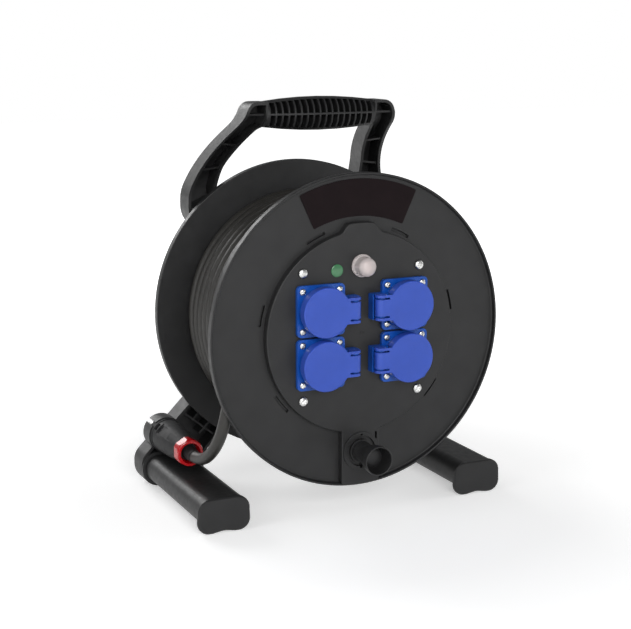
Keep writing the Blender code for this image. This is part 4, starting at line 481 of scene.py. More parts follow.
# grip on the bar
GRIP_HALF_LENGTH = 0.0600
GRIP_HALF_HEIGHT = 0.0172
GRIP_HALF_DEPTH = 0.0160
GRIP_END_SHRINK = 0.76  # size of the grip's ends against its middle
GRIP_WALL = 0.0028
GRIP_FINS = 16
GRIP_FIN_WALL = 0.0017
GRIP_RIB_WALL = 0.0018

# feet
FOOT_X = 0.1407
TUBE_WIDTH = 0.0515
TUBE_HEIGHT = 0.0275
TUBE_CORNER = 0.0130
TUBE_WALL = 0.002
TUBE_CENTRE_Z = -0.16525
TUBE_FRONT_Y = 0.0115
COLLAR_PROUD = 0.003  # collar in front of the frame's face
COLLAR_WALL = 0.0032
CAP_WIDTH = 0.0546
CAP_TOP_Z = -0.1512
CAP_CORNER = 0.0115
CAP_TOP_CORNER = 0.0126
CAP_WAIST = 0.0008  # slight hollow of the cap's sides
CAP_PLATE = 0.0044
CAP_PLUG_DEPTH = 0.010
CAP_DIP = 0.0020  # hollow of the cap's lower edge
CAP_DIP_CORNER = 0.020
CAP_WAIST_CORNER = 0.010
CAP_LOBE_END = 0.0115  # where each lobe leaves the floor, from the cap's middle
CAP_LOBE_CORNER = 0.004
CAP_EDGE = 0.0012  # bevel round the cap's face
FOOT_SCREW_RADIUS = 0.0019
FOOT_SCREW_HEAD = 0.0038
FOOT_SCREW_INSET = 0.011  # behind the frame's face
FOOT_SCREW_RECESS = 0.0032

# plug parked in the C-ring of the left leg
PLUG_X = -0.1463
PLUG_Z = -0.1274
HOLDER_PROUD = 0.0115  # plug clip in front of the frame's face
HOLDER_SEAT = 0.008  # plug clip behind the frame's face
HOLDER_RADIUS = 0.0187
HOLDER_WALL = 0.0022
HOLDER_SLIT = 0.0044
CARRIER_NECK = 0.0111  # carrier inside the clip
CARRIER_FLANGE_RADIUS = 0.0176
CARRIER_FLANGE_THICK = 0.0040
PLUG_BODY_LENGTH = 0.057
PLUG_BODY_FRONT_RADIUS = 0.0132
PLUG_BODY_REAR_RADIUS = 0.0170
PLUG_LEAD = 0.0015  # chamfer at the body's front
PLUG_COLLAR = 0.006  # straight stretch at either end of the body
PLUG_SWELL = 0.024  # front of the body to its wide part
PLUG_TAPER = 0.0012
PLUG_MARGIN = 0.002  # between notch, flat and badge
PIN_RADIUS = 0.0024
PIN_SEAT = 0.006
PIN_LINE = radians(135)  # direction from one pin to the other, seen from the front
GLAND_NUT_FLATS = 0.0265
GLAND_NUT_LENGTH = 0.013
GLAND_NUT_RIM = 0.0128
GLAND_BORE = 0.0088
GLAND_NUT_CHAMFER = 0.0015
GLAND_NUT_FLOOR = 0.003
GLAND_INSERT_SETBACK = -0.0012
NUT_CORNER_SHARE = 1.065  # the corners are turned down to this share of half the flats
NUT_SHOULDER = 0.0034  # depth at which the chamfer reaches the corners
NUT_MOUTH = 0.0106  # the bore's flared mouth
NUT_MOUTH_DEPTH = 0.0045
SLEEVE_LENGTH = 0.0215
SLEEVE_COLLAR = 0.003
SLEEVE_WALL = 0.0015
SLEEVE_TIP_WALL = 0.0004
SLEEVE_CURVE = 1.3  # power of the taper
PLUG_SCREW_HEAD = 0.0027
PLUG_SCREW_OFFSET = 0.0118
PLUG_SCREW_RISE = 0.0012
PLUG_NOTCH_LENGTH = 0.006
PLUG_NOTCH_WIDTH = 0.0075
PLUG_BADGE_LENGTH = 0.025
PLUG_BADGE_WIDTH = 0.010
PLUG_BADGE_DEPTH = 0.0006
PLUG_BADGE_FLAT = 0.0016  # flat behind the badge, below the body's widest radius

# ---------------------------------------------------------------- derived places
FLANGE_BACK_Y = LIP_DEPTH + FLANGE_PLATE
FLANGE_OPENING = BARREL_RADIUS - OPENING_LEDGE
PANEL_RADIUS = BARREL_RADIUS - PANEL_SETBACK
ARM_END_RADIUS = FLANGE_RADIUS - ARM_END_SETBACK
LABEL_OUTER = FLANGE_RADIUS - LABEL_SETBACK
LABEL_INNER = PANEL_RADIUS + BUMP_RISE + LABEL_GAP
SCREW_PLACE_X = sqrt((PANEL_RADIUS - SCREW_SETBACK) ** 2 - SCREW_PLACE_Z ** 2)
KNOB_Z = KNOB_SETBACK - FLANGE_RADIUS
ARM_SLIT_Z = KNOB_Z + ARM_SLIT_RISE
REAR_FLANGE_FRONT_Y = DRUM_WIDTH - FLANGE_BACK_Y
REAR_PLATE_Y = DRUM_WIDTH - LIP_DEPTH
HOOK_RADIUS = BARREL_RADIUS - BARREL_WALL / 2
HUB_REAR_Y = DRUM_WIDTH + HUB_PROUD
HUB_FRONT_Y = HUB_REAR_Y - HUB_LENGTH
FRAME_HUB_FRONT_Y = HUB_REAR_Y + FRAME_HUB_GAP
FRAME_FRONT_Y = DRUM_WIDTH + FRAME_SPACE
FRAME_REAR_Y = FRAME_FRONT_Y + FRAME_DEPTH
COLLAR_FRONT_Y = FRAME_FRONT_Y - COLLAR_PROUD
FOOT_SCREW_Y = FRAME_FRONT_Y + FOOT_SCREW_INSET
HOLDER_FRONT_Y = FRAME_FRONT_Y - HOLDER_PROUD
HOLDER_REAR_Y = FRAME_FRONT_Y + HOLDER_SEAT
CARRIER_REAR_Y = HOLDER_FRONT_Y + CARRIER_NECK
FLOOR_Z = -AXLE_HEIGHT
HOLE_FLOOR_Z = ARM_WIDTH * sqrt(2) - WAIST_X
BAR_CENTRE_Z = BAR_TOP_Z - BAR_HEIGHT / 2
BAR_CENTRE_Y = FRAME_FRONT_Y + FRAME_DEPTH / 2 - HANDLE_FORWARD
WINDING_RADIUS = 0.120027  # the one that the solids have
WINDING_FRONT_Y = FLANGE_BACK_Y + WINDING_END_GAP + CORD_DIAMETER / 2
WINDING_REAR_Y = REAR_FLANGE_FRONT_Y - WINDING_END_GAP - CORD_DIAMETER / 2
WINDING_PITCH = CORD_DIAMETER + WINDING_GAP
WINDING_TURNS = (WINDING_REAR_Y - WINDING_FRONT_Y) / WINDING_PITCH
LIFTED_RADIUS = WINDING_RADIUS + CORD_DIAMETER + LIFT_GAP
LIFT_ANGLE = acos(WINDING_RADIUS / LIFTED_RADIUS)
CARRIER_FRONT_Y = HOLDER_FRONT_Y - FIT_GAP - CARRIER_FLANGE_THICK
PLUG_BODY_REAR_Y = CARRIER_FRONT_Y - FIT_GAP
PLUG_BODY_FRONT_Y = PLUG_BODY_REAR_Y - PLUG_BODY_LENGTH
GLAND_NUT_FRONT_Y = PLUG_BODY_FRONT_Y - FIT_GAP - GLAND_NUT_LENGTH
GLAND_NUT_REAR_Y = GLAND_NUT_FRONT_Y + GLAND_NUT_LENGTH
GLAND_Y = GLAND_NUT_FRONT_Y + GLAND_INSERT_SETBACK - FIT_GAP
SOCKET_PLATE_REAR_Y = PANEL_FRONT_Y - FIT_GAP
SOCKET_PLATE_FRONT_Y = SOCKET_PLATE_REAR_Y - SOCKET_PLATE_THICK
SOCKET_FLOOR_Y = INSERT_REAR_Y + FIT_GAP
SEAT_FACE_Y = PANEL_FRONT_Y - FIT_GAP
KNOB_BASE_Y = SEAT_FACE_Y - SEAT_RISE - 2 * RUN_GAP
KNOB_FLOOR_Y = KNOB_TIP_Y + KNOB_CUP_DEPTH
HEAD_SEAT_Y = FRAME_REAR_Y - AXLE_HEAD_DEPTH - 2 * FIT_GAP - REACH
KNOB_PLACE = (0.0, 0.0, KNOB_Z)
BREAKER_PLACE = (0.0, 0.0, BREAKER_Z)
PLUG_PLACE = (PLUG_X, 0.0, PLUG_Z)
HOOK_ANGLES = [radians(270) + 2 * pi * number / HOOK_COUNT for number in range(HOOK_COUNT)]
SCREW_PLACES = [(x, z) for x in (-SCREW_PLACE_X, SCREW_PLACE_X)
                for z in (SCREW_PLACE_Z, -SCREW_PLACE_Z)]
SOCKET_PLACES = [(x, z) for x in (-SOCKET_X, SOCKET_X) for z in (SOCKET_Z, -SOCKET_Z)]
UPRIGHT = Matrix.Rotation(pi / 2, 4, "X")
CORD_ROUTE = ((-0.1349, 0.0148, -0.0719), (-0.1391, 0.0190, -0.0931), (-0.1427, 0.0311, -0.1111),
              (-0.1452, 0.0491, -0.1232))

# ---------------------------------------------------------------- modelling tools
ROUND_LARGE = 176  # segments of drum-size circles
ROUND_MIDDLE = 72
ROUND_BUTTON = 48
ROUND_SMALL = 24
SAME_POINT = 0.000001
FLAT_ANGLE = radians(0.05)


def new_object(shape):
    """Link an object made from a finished bmesh."""
    bmesh.ops.remove_doubles(shape, verts=shape.verts, dist=SAME_POINT)
    bmesh.ops.recalc_face_normals(shape, faces=shape.faces)
    mesh = bpy.data.meshes.new("piece")
    shape.to_mesh(mesh)
    shape.free()
    body = bpy.data.objects.new("piece", mesh)
    bpy.context.scene.collection.objects.link(body)
    return body


@contextmanager
def edited(mesh):
    """The mesh as a bmesh, written back when the block ends."""
    shape = bmesh.new()
    shape.from_mesh(mesh)
    yield shape
    shape.to_mesh(mesh)
    shape.free()


def skin(rings, cyclic=False, place=None):
    """Join rings of equal length; a ring of one point closes to a tip."""
    shape = bmesh.new()
    loops = [[shape.verts.new(point) for point in ring] for ring in rings]
    pairs = list(zip(loops, loops[1:]))
    if cyclic:
        pairs.append((loops[-1], loops[0]))
    for near, far in pairs:
        count = max(len(near), len(far))
        if len(near) == 1 and len(far) == 1:
            continue
        for step in range(count):
            corners = [near[step % len(near)], near[(step + 1) % len(near)]]
            corners += [far[(step + 1) % len(far)], far[step % len(far)]]
            shape.faces.new(list(dict.fromkeys(corners)))
    if not cyclic:
        for loop in (loops[0], loops[-1]):
            if len(loop) > 2:
                shape.faces.new(loop)
    if place:
        shape.transform(place)
    return new_object(shape)


def ease(share):
    """Smooth step from 0 to 1."""
    return share * share * (3 - 2 * share)


def arc(x, y, across, along, first, last, steps):
    """Points of an elliptic arc about (x, y); it runs between two angles given in quarter turns."""
    angles = [pi / 2 * (first + (last - first) * step / steps) for step in range(steps + 1)]
    return [(x + across * cos(angle), y + along * sin(angle)) for angle in angles]


def circle(radius, y, segments, centre=(0.0, 0.0)):
    """Points of a circle about the Y direction."""
    angles = [2 * pi * (step + 0.5) / segments for step in range(segments)]
    return [(centre[0] + radius * cos(angle), y, centre[1] + radius * sin(angle))
            for angle in angles]


def turned(profile, segments=ROUND_SMALL, centre=(0.0, 0.0), place=None):
    """Body turned about the Y direction from a closed profile of (radius, y) points."""
    rings = [circle(radius, y, segments, centre) if radius else [(centre[0], y, centre[1])]
             for radius, y in profile]
    return skin(rings, True, place)


def rod(radius, front, rear, segments=ROUND_SMALL, centre=(0.0, 0.0), place=None):
    profile = ((0, front), (radius, front), (radius, rear), (0, rear))
    return turned(profile, segments, centre, place)


def tube(inner, outer, front, rear, segments=ROUND_SMALL):
    return turned(((inner, front), (outer, front), (outer, rear), (inner, rear)), segments)


def hole(radius, front, rear, segments=ROUND_SMALL, centre=(0.0, 0.0)):
    """Round cutter that passes beyond both ends."""
    return rod(radius, front - REACH, rear + REACH, segments, centre)


def ring_at(outline, y):
    return [(x, y, z) for x, z in outline]


def prism(outline, front, rear, place=None):
    """Outline of (x, z) points carried from one y to another."""
    return skin([ring_at(outline, y) for y in (front, rear)], False, place)


def block(x_range, y_range, z_range):
    (left, right), (low, high) = x_range, z_range
    return prism([(left, low), (right, low), (right, high), (left, high)], *y_range)


def bar(start, end, width, front, rear):
    """Straight rib between two (x, z) points."""
    first = Vector(start)
    along = (Vector(end) - first).normalized()
    side = Vector((-along.y, along.x)) * width / 2
    last = Vector(end)
    outline = [first - side, last - side, last + side, first + side]
    return prism(outline, front, rear)


def rounded(corners, step_angle=radians(6)):
    """Outline through (x, z, radius) corners, with each corner turned into an arc."""
    points = []
    count = len(corners)
    for index, (x, z, radius) in enumerate(corners):
        corner = Vector((x, z))
        before = (Vector(corners[index - 1][:2]) - corner).normalized()
        after = (Vector(corners[(index + 1) % count][:2]) - corner).normalized()
        opening = before.angle(after)
        if radius == 0 or opening > radians(176):
            points.append((x, z))
            continue
        centre = corner + (before + after).normalized() * radius / sin(opening / 2)
        start = corner + before * radius / tan(opening / 2) - centre
        turn = pi - opening
        if before.x * after.y - before.y * after.x > 0:
            turn = -turn
        steps = max(1, round(abs(turn) / step_angle))
        for step in range(steps + 1):
            angle = turn * step / steps
            dx = start.x * cos(angle) - start.y * sin(angle)
            dz = start.x * sin(angle) + start.y * cos(angle)
            points.append((centre.x + dx, centre.y + dz))
    return points


def grown(outline, distance):
    """Counter-clockwise outline moved outwards by a distance, or inwards if negative."""
    moved = []
    count = len(outline)
    for index in range(count):
        here = Vector(outline[index])
        before = (here - Vector(outline[index - 1])).normalized()
        after = (Vector(outline[(index + 1) % count]) - here).normalized()
        normal = Vector((before.y, -before.x)) + Vector((after.y, -after.x))
        normal.normalize()
        stretch = distance / max(0.3, normal.dot(Vector((before.y, -before.x))))
        moved.append(tuple(here + normal * stretch))
    return moved


def mirrored(half):
    """Closed outline from a right half that runs from top to bottom, counter-clockwise."""
    left = [(-x, z, radius) for x, z, radius in half if x > 0]
    return left + [corner for corner in reversed(half)]


def box_outline(width, height, radius, centre=(0.0, 0.0)):
    left, right = centre[0] - width / 2, centre[0] + width / 2
    low, high = centre[1] - height / 2, centre[1] + height / 2
    return rounded([(left, low, radius), (right, low, radius), (right, high, radius),
                    (left, high, radius)])


def sector(inner, outer, angle, half_angle, steps=12):
    """Outline of a piece of a ring about the drum axis."""
    sweep = [angle + half_angle * (2 * step / steps - 1) for step in range(steps + 1)]
    points = [(outer * cos(turn), outer * sin(turn)) for turn in sweep]
    return points + [(inner * cos(turn), inner * sin(turn)) for turn in reversed(sweep)]


def combine(target, tools, operation):
    """Apply one Boolean with several bodies and drop those bodies."""
    group = bpy.data.collections.new("boolean tools")
    for tool in tools:
        group.objects.link(tool)
    modifier = target.modifiers.new("combine", "BOOLEAN")
    modifier.operation = operation
    modifier.solver = "EXACT"
    modifier.operand_type = "COLLECTION"
    modifier.collection = group
    graph = bpy.context.evaluated_depsgraph_get()
    target.data = bpy.data.meshes.new_from_object(target.evaluated_get(graph))
    target.modifiers.clear()
    for tool in tools:
        bpy.data.objects.remove(tool)
    bpy.data.collections.remove(group)
    merge_flat_faces(target.data)
    return target


def merge_flat_faces(mesh):
    """Join the coplanar facets that a Boolean leaves."""
    with edited(mesh) as shape:
        bmesh.ops.remove_doubles(shape, verts=shape.verts, dist=SAME_POINT)
        bmesh.ops.dissolve_limit(shape, angle_limit=FLAT_ANGLE, verts=shape.verts,
                                 edges=shape.edges)


def join(target, tools):
    return combine(target, tools, "UNION")


def carve(target, tools):
    return combine(target, tools, "DIFFERENCE")


# ---------------------------------------------------------------- finishing
def soften(body, width, angle=radians(28), steps=2):
    """Round the sharp edges, and weight the normals by area so that flat faces stay flat."""
    body.data.shade_smooth()
    body.data.set_sharp_from_angle(angle=radians(40))
    if width:
        edge = body.modifiers.new("edges", "BEVEL")
        edge.limit_method = "ANGLE"
        edge.angle_limit = angle
        edge.width = width
        edge.segments = steps
        edge.miter_outer = "MITER_ARC"
        edge.harden_normals = False
    weights = body.modifiers.new("normals", "WEIGHTED_NORMAL")
    weights.keep_sharp = not width
    weights.weight = 50
    return body


def split_faces(body):
    """Triangulate, because the bevel leaves a large face with many corners badly divided."""
    with edited(body.data) as shape:
        bmesh.ops.triangulate(shape, faces=[face for face in shape.faces if len(face.verts) > 4])


def finish(body, name, node, rides_on="drum", place=(0.0, 0.0, 0.0), turn=0.0, edge=0.0004,
           look=None, split=False):
    """Give a piece its name, material, place and body, and hide the CAD node that it stands for."""
    if split:
        split_faces(body)
    body.name = name
    body.data.name = name
    slot = slot_of(frame["record"], node) if node else look
    body.data.materials.clear()
    body.data.materials.append(LOOKS[look or slot])
    body.location = Vector(place) + DRUM
    body.rotation_euler = (0.0, turn, 0.0)
    soften(body, edge)
    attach(body, rides_on)
    if node:
        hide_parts(node)
    return body


def twin(body):
    copy = bpy.data.objects.new("piece", body.data.copy())
    bpy.context.scene.collection.objects.link(copy)
    return copy


def pan_screw(radius, rise, face, shank, end, slots=2, recess=0.55):
    """Screw with a domed head on the plane y = face, a crossed recess, and its shank behind."""
    top = face - rise
    dome = rise * SCREW_DOME
    profile = [(0, top)] + arc(0, top + dome, radius, -dome, 1, 0, 8)[1:]
    profile += [(radius, face), (shank, face), (shank, end), (0, end)]
    body = turned(profile, ROUND_SMALL * 2)
    cuts = []
    for step in range(slots):
        turn = pi * (step / slots + SLOT_TURN)
        way = Vector((cos(turn), sin(turn))) * radius * recess
        cuts.append(bar(-way, way, radius * SLOT_SHARE, top - REACH, top + rise * 0.5))
    return carve(body, cuts)


# ---------------------------------------------------------------- drum
def hook_outlines(length, width):
    """Outline of each snap hook, or of its slot."""
    half_angle = length / 2 / HOOK_RADIUS
    return [sector(HOOK_RADIUS - width / 2, HOOK_RADIUS + width / 2, angle, half_angle)
            for angle in HOOK_ANGLES]


def hook_slots(front, rear):
    """Cutters for the slots that the barrel's hooks snap into."""
    return [prism(outline, front - REACH, rear + REACH)
            for outline in hook_outlines(SLOT_LENGTH, SLOT_WIDTH)]


def make_barrel():
    middle = BARREL_RADIUS - BARREL_WALL / 2
    front, rear = FLANGE_BACK_Y + FIT_GAP, REAR_FLANGE_FRONT_Y - FIT_GAP
    body = tube(BARREL_RADIUS - BARREL_WALL, BARREL_RADIUS, front, rear, ROUND_LARGE)
    additions = []
    for outline in hook_outlines(HOOK_LENGTH, HOOK_WALL):
        additions.append(prism(outline, LIP_DEPTH + HOOK_SETBACK, front + REACH))
        additions.append(prism(outline, rear - REACH, REAR_PLATE_Y - HOOK_SETBACK))
    for spot in SCREW_PLACES:
        additions.append(rod(PILLAR_RADIUS, FIT_GAP, PILLAR_DEPTH, ROUND_SMALL, spot))
        end = Vector(spot).normalized() * middle
        additions.append(bar(spot, end, PILLAR_WEB, front, PILLAR_DEPTH - REACH))
    join(body, additions)
    end = PANEL_FRONT_Y + PANEL_SCREW_LENGTH
    carve(body, [hole(PANEL_SCREW_SHANK + FIT_GAP, 0, end, 8, spot) for spot in SCREW_PLACES])
    finish(body, "drum_barrel_moulding", "drum_barrel", edge=0.0)


def lip_corner(radius, y, way_out, way_back):
    """Three points that ease a flange's edge, from its face round to its side."""
    out, back = way_out * LIP_ROUND, way_back * LIP_ROUND
    return [(radius + out, y), (radius + out * 0.3, y + back * 0.3), (radius, y + back)]


def make_front_flange():
    lip_inner = FLANGE_RADIUS - LIP_WALL
    profile = [(FLANGE_OPENING, LIP_DEPTH)]
    profile += arc(lip_inner - RIM_FOOT, LIP_DEPTH - RIM_FOOT, RIM_FOOT, RIM_FOOT, 1, 0, 6)
    profile += lip_corner(lip_inner, 0.0, 1, 1)[::-1] + lip_corner(FLANGE_RADIUS, 0.0, -1, 1)
    profile += lip_corner(FLANGE_RADIUS, FLANGE_BACK_Y, -1, -1)[::-1]
    profile.append((FLANGE_OPENING, FLANGE_BACK_Y))
    body = turned(profile, ROUND_LARGE)
    carve(body, hook_slots(LIP_DEPTH, FLANGE_BACK_Y))
    finish(body, "front_flange_moulding", "front_flange", edge=0.0003)


def make_rear_flange():
    lip_inner = FLANGE_RADIUS - LIP_WALL
    inner = (HUB_BORE + HUB_RADIUS) / 2
    front, rear = REAR_FLANGE_FRONT_Y, DRUM_WIDTH
    profile = [(inner, front)] + lip_corner(FLANGE_RADIUS, front, -1, 1)
    profile += lip_corner(FLANGE_RADIUS, rear, -1, -1)[::-1] + lip_corner(lip_inner, rear, 1, -1)
    profile += arc(lip_inner - RIM_FOOT, REAR_PLATE_Y + RIM_FOOT, RIM_FOOT, -RIM_FOOT, 0, 1, 6)
    body = turned(profile + [(inner, REAR_PLATE_Y)], ROUND_LARGE)
    additions = [tube(HUB_BORE, HUB_RADIUS, HUB_FRONT_Y, HUB_REAR_Y, ROUND_MIDDLE)]
    for step in range(REAR_RIB_COUNT):
        angle = 2 * pi * (step + 0.5) / REAR_RIB_COUNT
        ends = [(reach * cos(angle), reach * sin(angle))
                for reach in (HUB_RADIUS - REACH, REAR_RIB_OUTER)]
        additions.append(bar(*ends, REAR_RIB_WALL, REAR_PLATE_Y - REACH,
                             REAR_PLATE_Y + REAR_RIB_HEIGHT))
    join(body, additions)
    carve(body, hook_slots(REAR_FLANGE_FRONT_Y, REAR_PLATE_Y))
    finish(body, "rear_flange_moulding", "rear_flange", edge=0.0003)


def bump_rise(angle):
    """Height of the 12 o'clock bump over the round edge of the panel."""
    past = BUMP_HALF_WIDTH + BUMP_FLARE / 2 - abs(PANEL_RADIUS * cos(angle))
    if sin(angle) < 0 or past < 0:
        return 0.0
    return BUMP_RISE * ease(min(1.0, past / BUMP_FLARE))


def panel_outline(arm_end):
    """Round cover with a bump at the top and the knob arm at the bottom."""
    gap = asin(ARM_HALF_WIDTH / PANEL_RADIUS)
    first, last = -pi / 2 + gap, pi * 3 / 2 - gap
    corners = []
    for step in range(ROUND_LARGE + 1):
        angle = first + (last - first) * step / ROUND_LARGE
        radius = PANEL_RADIUS + bump_rise(angle)
        corners.append((radius * cos(angle), radius * sin(angle), 0))
    half = asin(ARM_HALF_WIDTH / arm_end)
    end_steps = 8
    for step in range(end_steps + 1):
        angle = -pi / 2 + half * (2 * step / end_steps - 1)
        radius = PANEL_WALL + PANEL_CHAMFER if step in (0, end_steps) else 0
        corners.append((arm_end * cos(angle), arm_end * sin(angle), radius))
    return rounded(corners, radians(10))


def make_panel():
    over_lip = panel_outline(ARM_END_RADIUS)
    inside_lip = panel_outline(FLANGE_RADIUS - LIP_WALL - 2 * FIT_GAP)
    hollow = grown(inside_lip, -PANEL_WALL)
    front, back, edge = PANEL_FRONT_Y, PANEL_FRONT_Y + PANEL_WALL, PANEL_CHAMFER
    bevel = arc(-edge, front + edge, edge, -edge, 1, 0, 4)
    levels = [(grown(over_lip, out), y) for out, y in bevel]
    levels += [(over_lip, -FIT_GAP), (inside_lip, -FIT_GAP), (inside_lip, LIP_DEPTH - FIT_GAP),
               (hollow, LIP_DEPTH - FIT_GAP), (hollow, back)]
    body = skin([ring_at(outline, y) for outline, y in levels])
    holes = [hole(SOCKET_BODY_RADIUS + RUN_GAP, front, back, ROUND_MIDDLE, spot)
             for spot in SOCKET_PLACES]
    for spot in SCREW_PLACES:
        holes.append(hole(PANEL_SCREW_SHANK + FIT_GAP, front, back, ROUND_SMALL, spot))
        holes.append(rod(PANEL_SCREW_HEAD + DISH_GAP, front - REACH, front + DISH_DEPTH,
                         ROUND_BUTTON, spot))
    necks = ((LAMP_NECK_RADIUS, ROUND_BUTTON, (LAMP_X, LAMP_Z)),
             (BREAKER_NECK_RADIUS, ROUND_BUTTON, (0.0, BREAKER_Z)),
             (SEAT_NECK_RADIUS, ROUND_MIDDLE, (0.0, KNOB_Z)))
    for neck, segments, spot in necks:
        holes.append(hole(neck + FIT_GAP, front, back, segments, spot))
    slit_x = (ARM_SLIT_X - ARM_SLIT_WIDTH / 2, ARM_SLIT_X + ARM_SLIT_WIDTH / 2)
    slit_z = (ARM_SLIT_Z - ARM_SLIT_LENGTH / 2, ARM_SLIT_Z + ARM_SLIT_LENGTH / 2)
    holes.append(block(slit_x, (front - REACH, back + REACH), slit_z))
    holes.append(tube(GATE_INNER, GATE_OUTER, front - REACH, front + GATE_DEPTH))
    carve(body, holes)
    finish(body, "socket_panel_moulding", "socket_panel", edge=0.00025)


def make_panel_screws():
    for number, (x, z) in enumerate(SCREW_PLACES, 1):
        body = pan_screw(PANEL_SCREW_HEAD, PANEL_SCREW_RISE, SEAT_FACE_Y, PANEL_SCREW_SHANK,
                         PANEL_FRONT_Y + PANEL_SCREW_LENGTH)
        finish(body, f"panel_screw_crossed_{number}", f"panel_screw_{number}", place=(x, 0.0, z),
               turn=0.7 * number, edge=0.00015)


def make_label_plate():
    """Bare label: a piece of a ring with small round corners."""
    steps = 48
    outline = sector(LABEL_INNER, LABEL_OUTER, pi / 2, LABEL_HALF_ANGLE, steps)
    ends = (0, steps, steps + 1, 2 * steps + 1)
    corners = [(x, z, LABEL_CORNER if index in ends else 0) for index, (x, z) in enumerate(outline)]
    rear = LIP_DEPTH - FIT_GAP
    body = prism(rounded(corners, radians(15)), rear - LABEL_THICKNESS, rear)
    finish(body, "label_plate_bare", "label_plate", edge=0.00012)


# ---------------------------------------------------------------- sockets
def about_pin(radius, low, high, segments=ROUND_SMALL):
    """Round body about the hinge pin's axis, in socket coordinates."""
    place = Matrix.Translation((HINGE_OFFSET, HINGE_PIN_Y, 0.0)) @ UPRIGHT
    return rod(radius, low, high, segments, (0.0, 0.0), place)


def make_ear(middle):
    """Thin upright plate with a round end that carries one end of the hinge pin."""
    outline = [(HINGE_OFFSET - EAR_RADIUS, SOCKET_PLATE_FRONT_Y)]
    outline += arc(HINGE_OFFSET, HINGE_PIN_Y, EAR_RADIUS, EAR_RADIUS, 2, 4, 3)
    outline.append((HINGE_OFFSET + EAR_RADIUS, SOCKET_PLATE_FRONT_Y))
    levels = (middle - EAR_WALL / 2, middle + EAR_WALL / 2)
    return skin([[(x, y, z) for x, y in outline] for z in levels])


def make_socket_base():
    """Socket housing about its own centre line, with its hinge towards +X."""
    knuckle = (-KNUCKLE_HALF_WIDTH, KNUCKLE_HALF_WIDTH)
    hinge = block((SOCKET_PLATE / 2 - HINGE_OVERLAP, HINGE_OFFSET + HINGE_BLOCK_REACH),
                  (HINGE_BLOCK_FRONT_Y, SOCKET_PLATE_REAR_Y), knuckle)
    carve(hinge, [about_pin(KNUCKLE_RADIUS + RUN_GAP, -SOCKET_PLATE / 2, SOCKET_PLATE / 2, 16)])
    plate = prism(box_outline(SOCKET_PLATE, SOCKET_PLATE, SOCKET_PLATE_CORNER),
                  SOCKET_PLATE_FRONT_Y, SOCKET_PLATE_REAR_Y)
    collar = rod(SOCKET_COLLAR_RADIUS, SOCKET_COLLAR_FRONT_Y, SOCKET_PLATE_REAR_Y - REACH,
                 ROUND_MIDDLE)
    housing = rod(SOCKET_BODY_RADIUS, SOCKET_PLATE_FRONT_Y, SOCKET_BODY_REAR_Y, ROUND_MIDDLE)
    join(plate, [hinge, collar, housing, make_ear(-EAR_Z), make_ear(EAR_Z)])
    well = rod(SOCKET_WELL_RADIUS, SOCKET_COLLAR_FRONT_Y - REACH, SOCKET_FLOOR_Y, ROUND_MIDDLE)
    return carve(plate, [well, about_pin(HINGE_PIN_RADIUS + FIT_GAP, *knuckle, 8)])


def make_socket_insert():
    """Contact carrier with two pin holes and a notch for each earth clip."""
    body = rod(SOCKET_WELL_RADIUS - FIT_GAP, INSERT_FRONT_Y, INSERT_REAR_Y, ROUND_MIDDLE)
    cuts = []
    for side in (-1, 1):
        cuts.append(rod(CONTACT_HOLE_RADIUS, INSERT_FRONT_Y - REACH,
                        INSERT_FRONT_Y + CONTACT_HOLE_DEPTH, 8, (0.0, side * CONTACT_PITCH / 2)))
        walls = sorted((side * SOCKET_WELL_RADIUS, side * (SOCKET_WELL_RADIUS - EARTH_NOTCH_DEPTH)))
        cuts.append(block(walls, (INSERT_FRONT_Y - REACH, INSERT_REAR_Y + REACH),
                          (-EARTH_NOTCH_WIDTH / 2, EARTH_NOTCH_WIDTH / 2)))
    return carve(body, cuts)


def make_socket_lid():
    """Spring lid; its mesh is shifted so that the object's origin is on the hinge pin."""
    skin_rear = LID_FRONT_Y + LID_SKIN
    skirt_inner = LID_RADIUS - LID_SKIRT_WALL
    soft = LID_SKIN / 2
    body = turned(((0, LID_FRONT_Y), (LID_RADIUS - soft, LID_FRONT_Y),
                   (LID_RADIUS, LID_FRONT_Y + soft), (LID_RADIUS, LID_SKIRT_REAR_Y),
                   (skirt_inner, LID_SKIRT_REAR_Y), (skirt_inner, skin_rear), (0, skin_rear)),
                  ROUND_MIDDLE)
    relief = KNUCKLE_HALF_WIDTH + FIT_GAP
    carve(body, [block((0.0, LID_RADIUS + REACH), (skin_rear, LID_SKIRT_REAR_Y + REACH),
                       (-relief, relief))])
    knuckle = (-KNUCKLE_HALF_WIDTH, KNUCKLE_HALF_WIDTH)
    bridge = block((LID_RADIUS - BRIDGE_OVERLAP, HINGE_OFFSET), (LID_FRONT_Y, skin_rear), knuckle)
    join(body, [bridge, about_pin(KNUCKLE_RADIUS, *knuckle, 16)])
    cuts = [about_pin(HINGE_PIN_RADIUS + FIT_GAP, -LID_RADIUS, LID_RADIUS, 8)]
    half = (EAR_WALL + RUN_GAP) / 2
    slot_end = HINGE_OFFSET + KNUCKLE_RADIUS + REACH
    for side in (-EAR_Z, EAR_Z):
        cuts.append(block((slot_end - EAR_SLOT_LENGTH, slot_end),
                          (LID_FRONT_Y - REACH, HINGE_PIN_Y + KNUCKLE_RADIUS + REACH),
                          (side - half, side + half)))
    carve(body, cuts)
    body.data.transform(Matrix.Translation((-HINGE_OFFSET, -HINGE_PIN_Y, 0.0)))
    return body


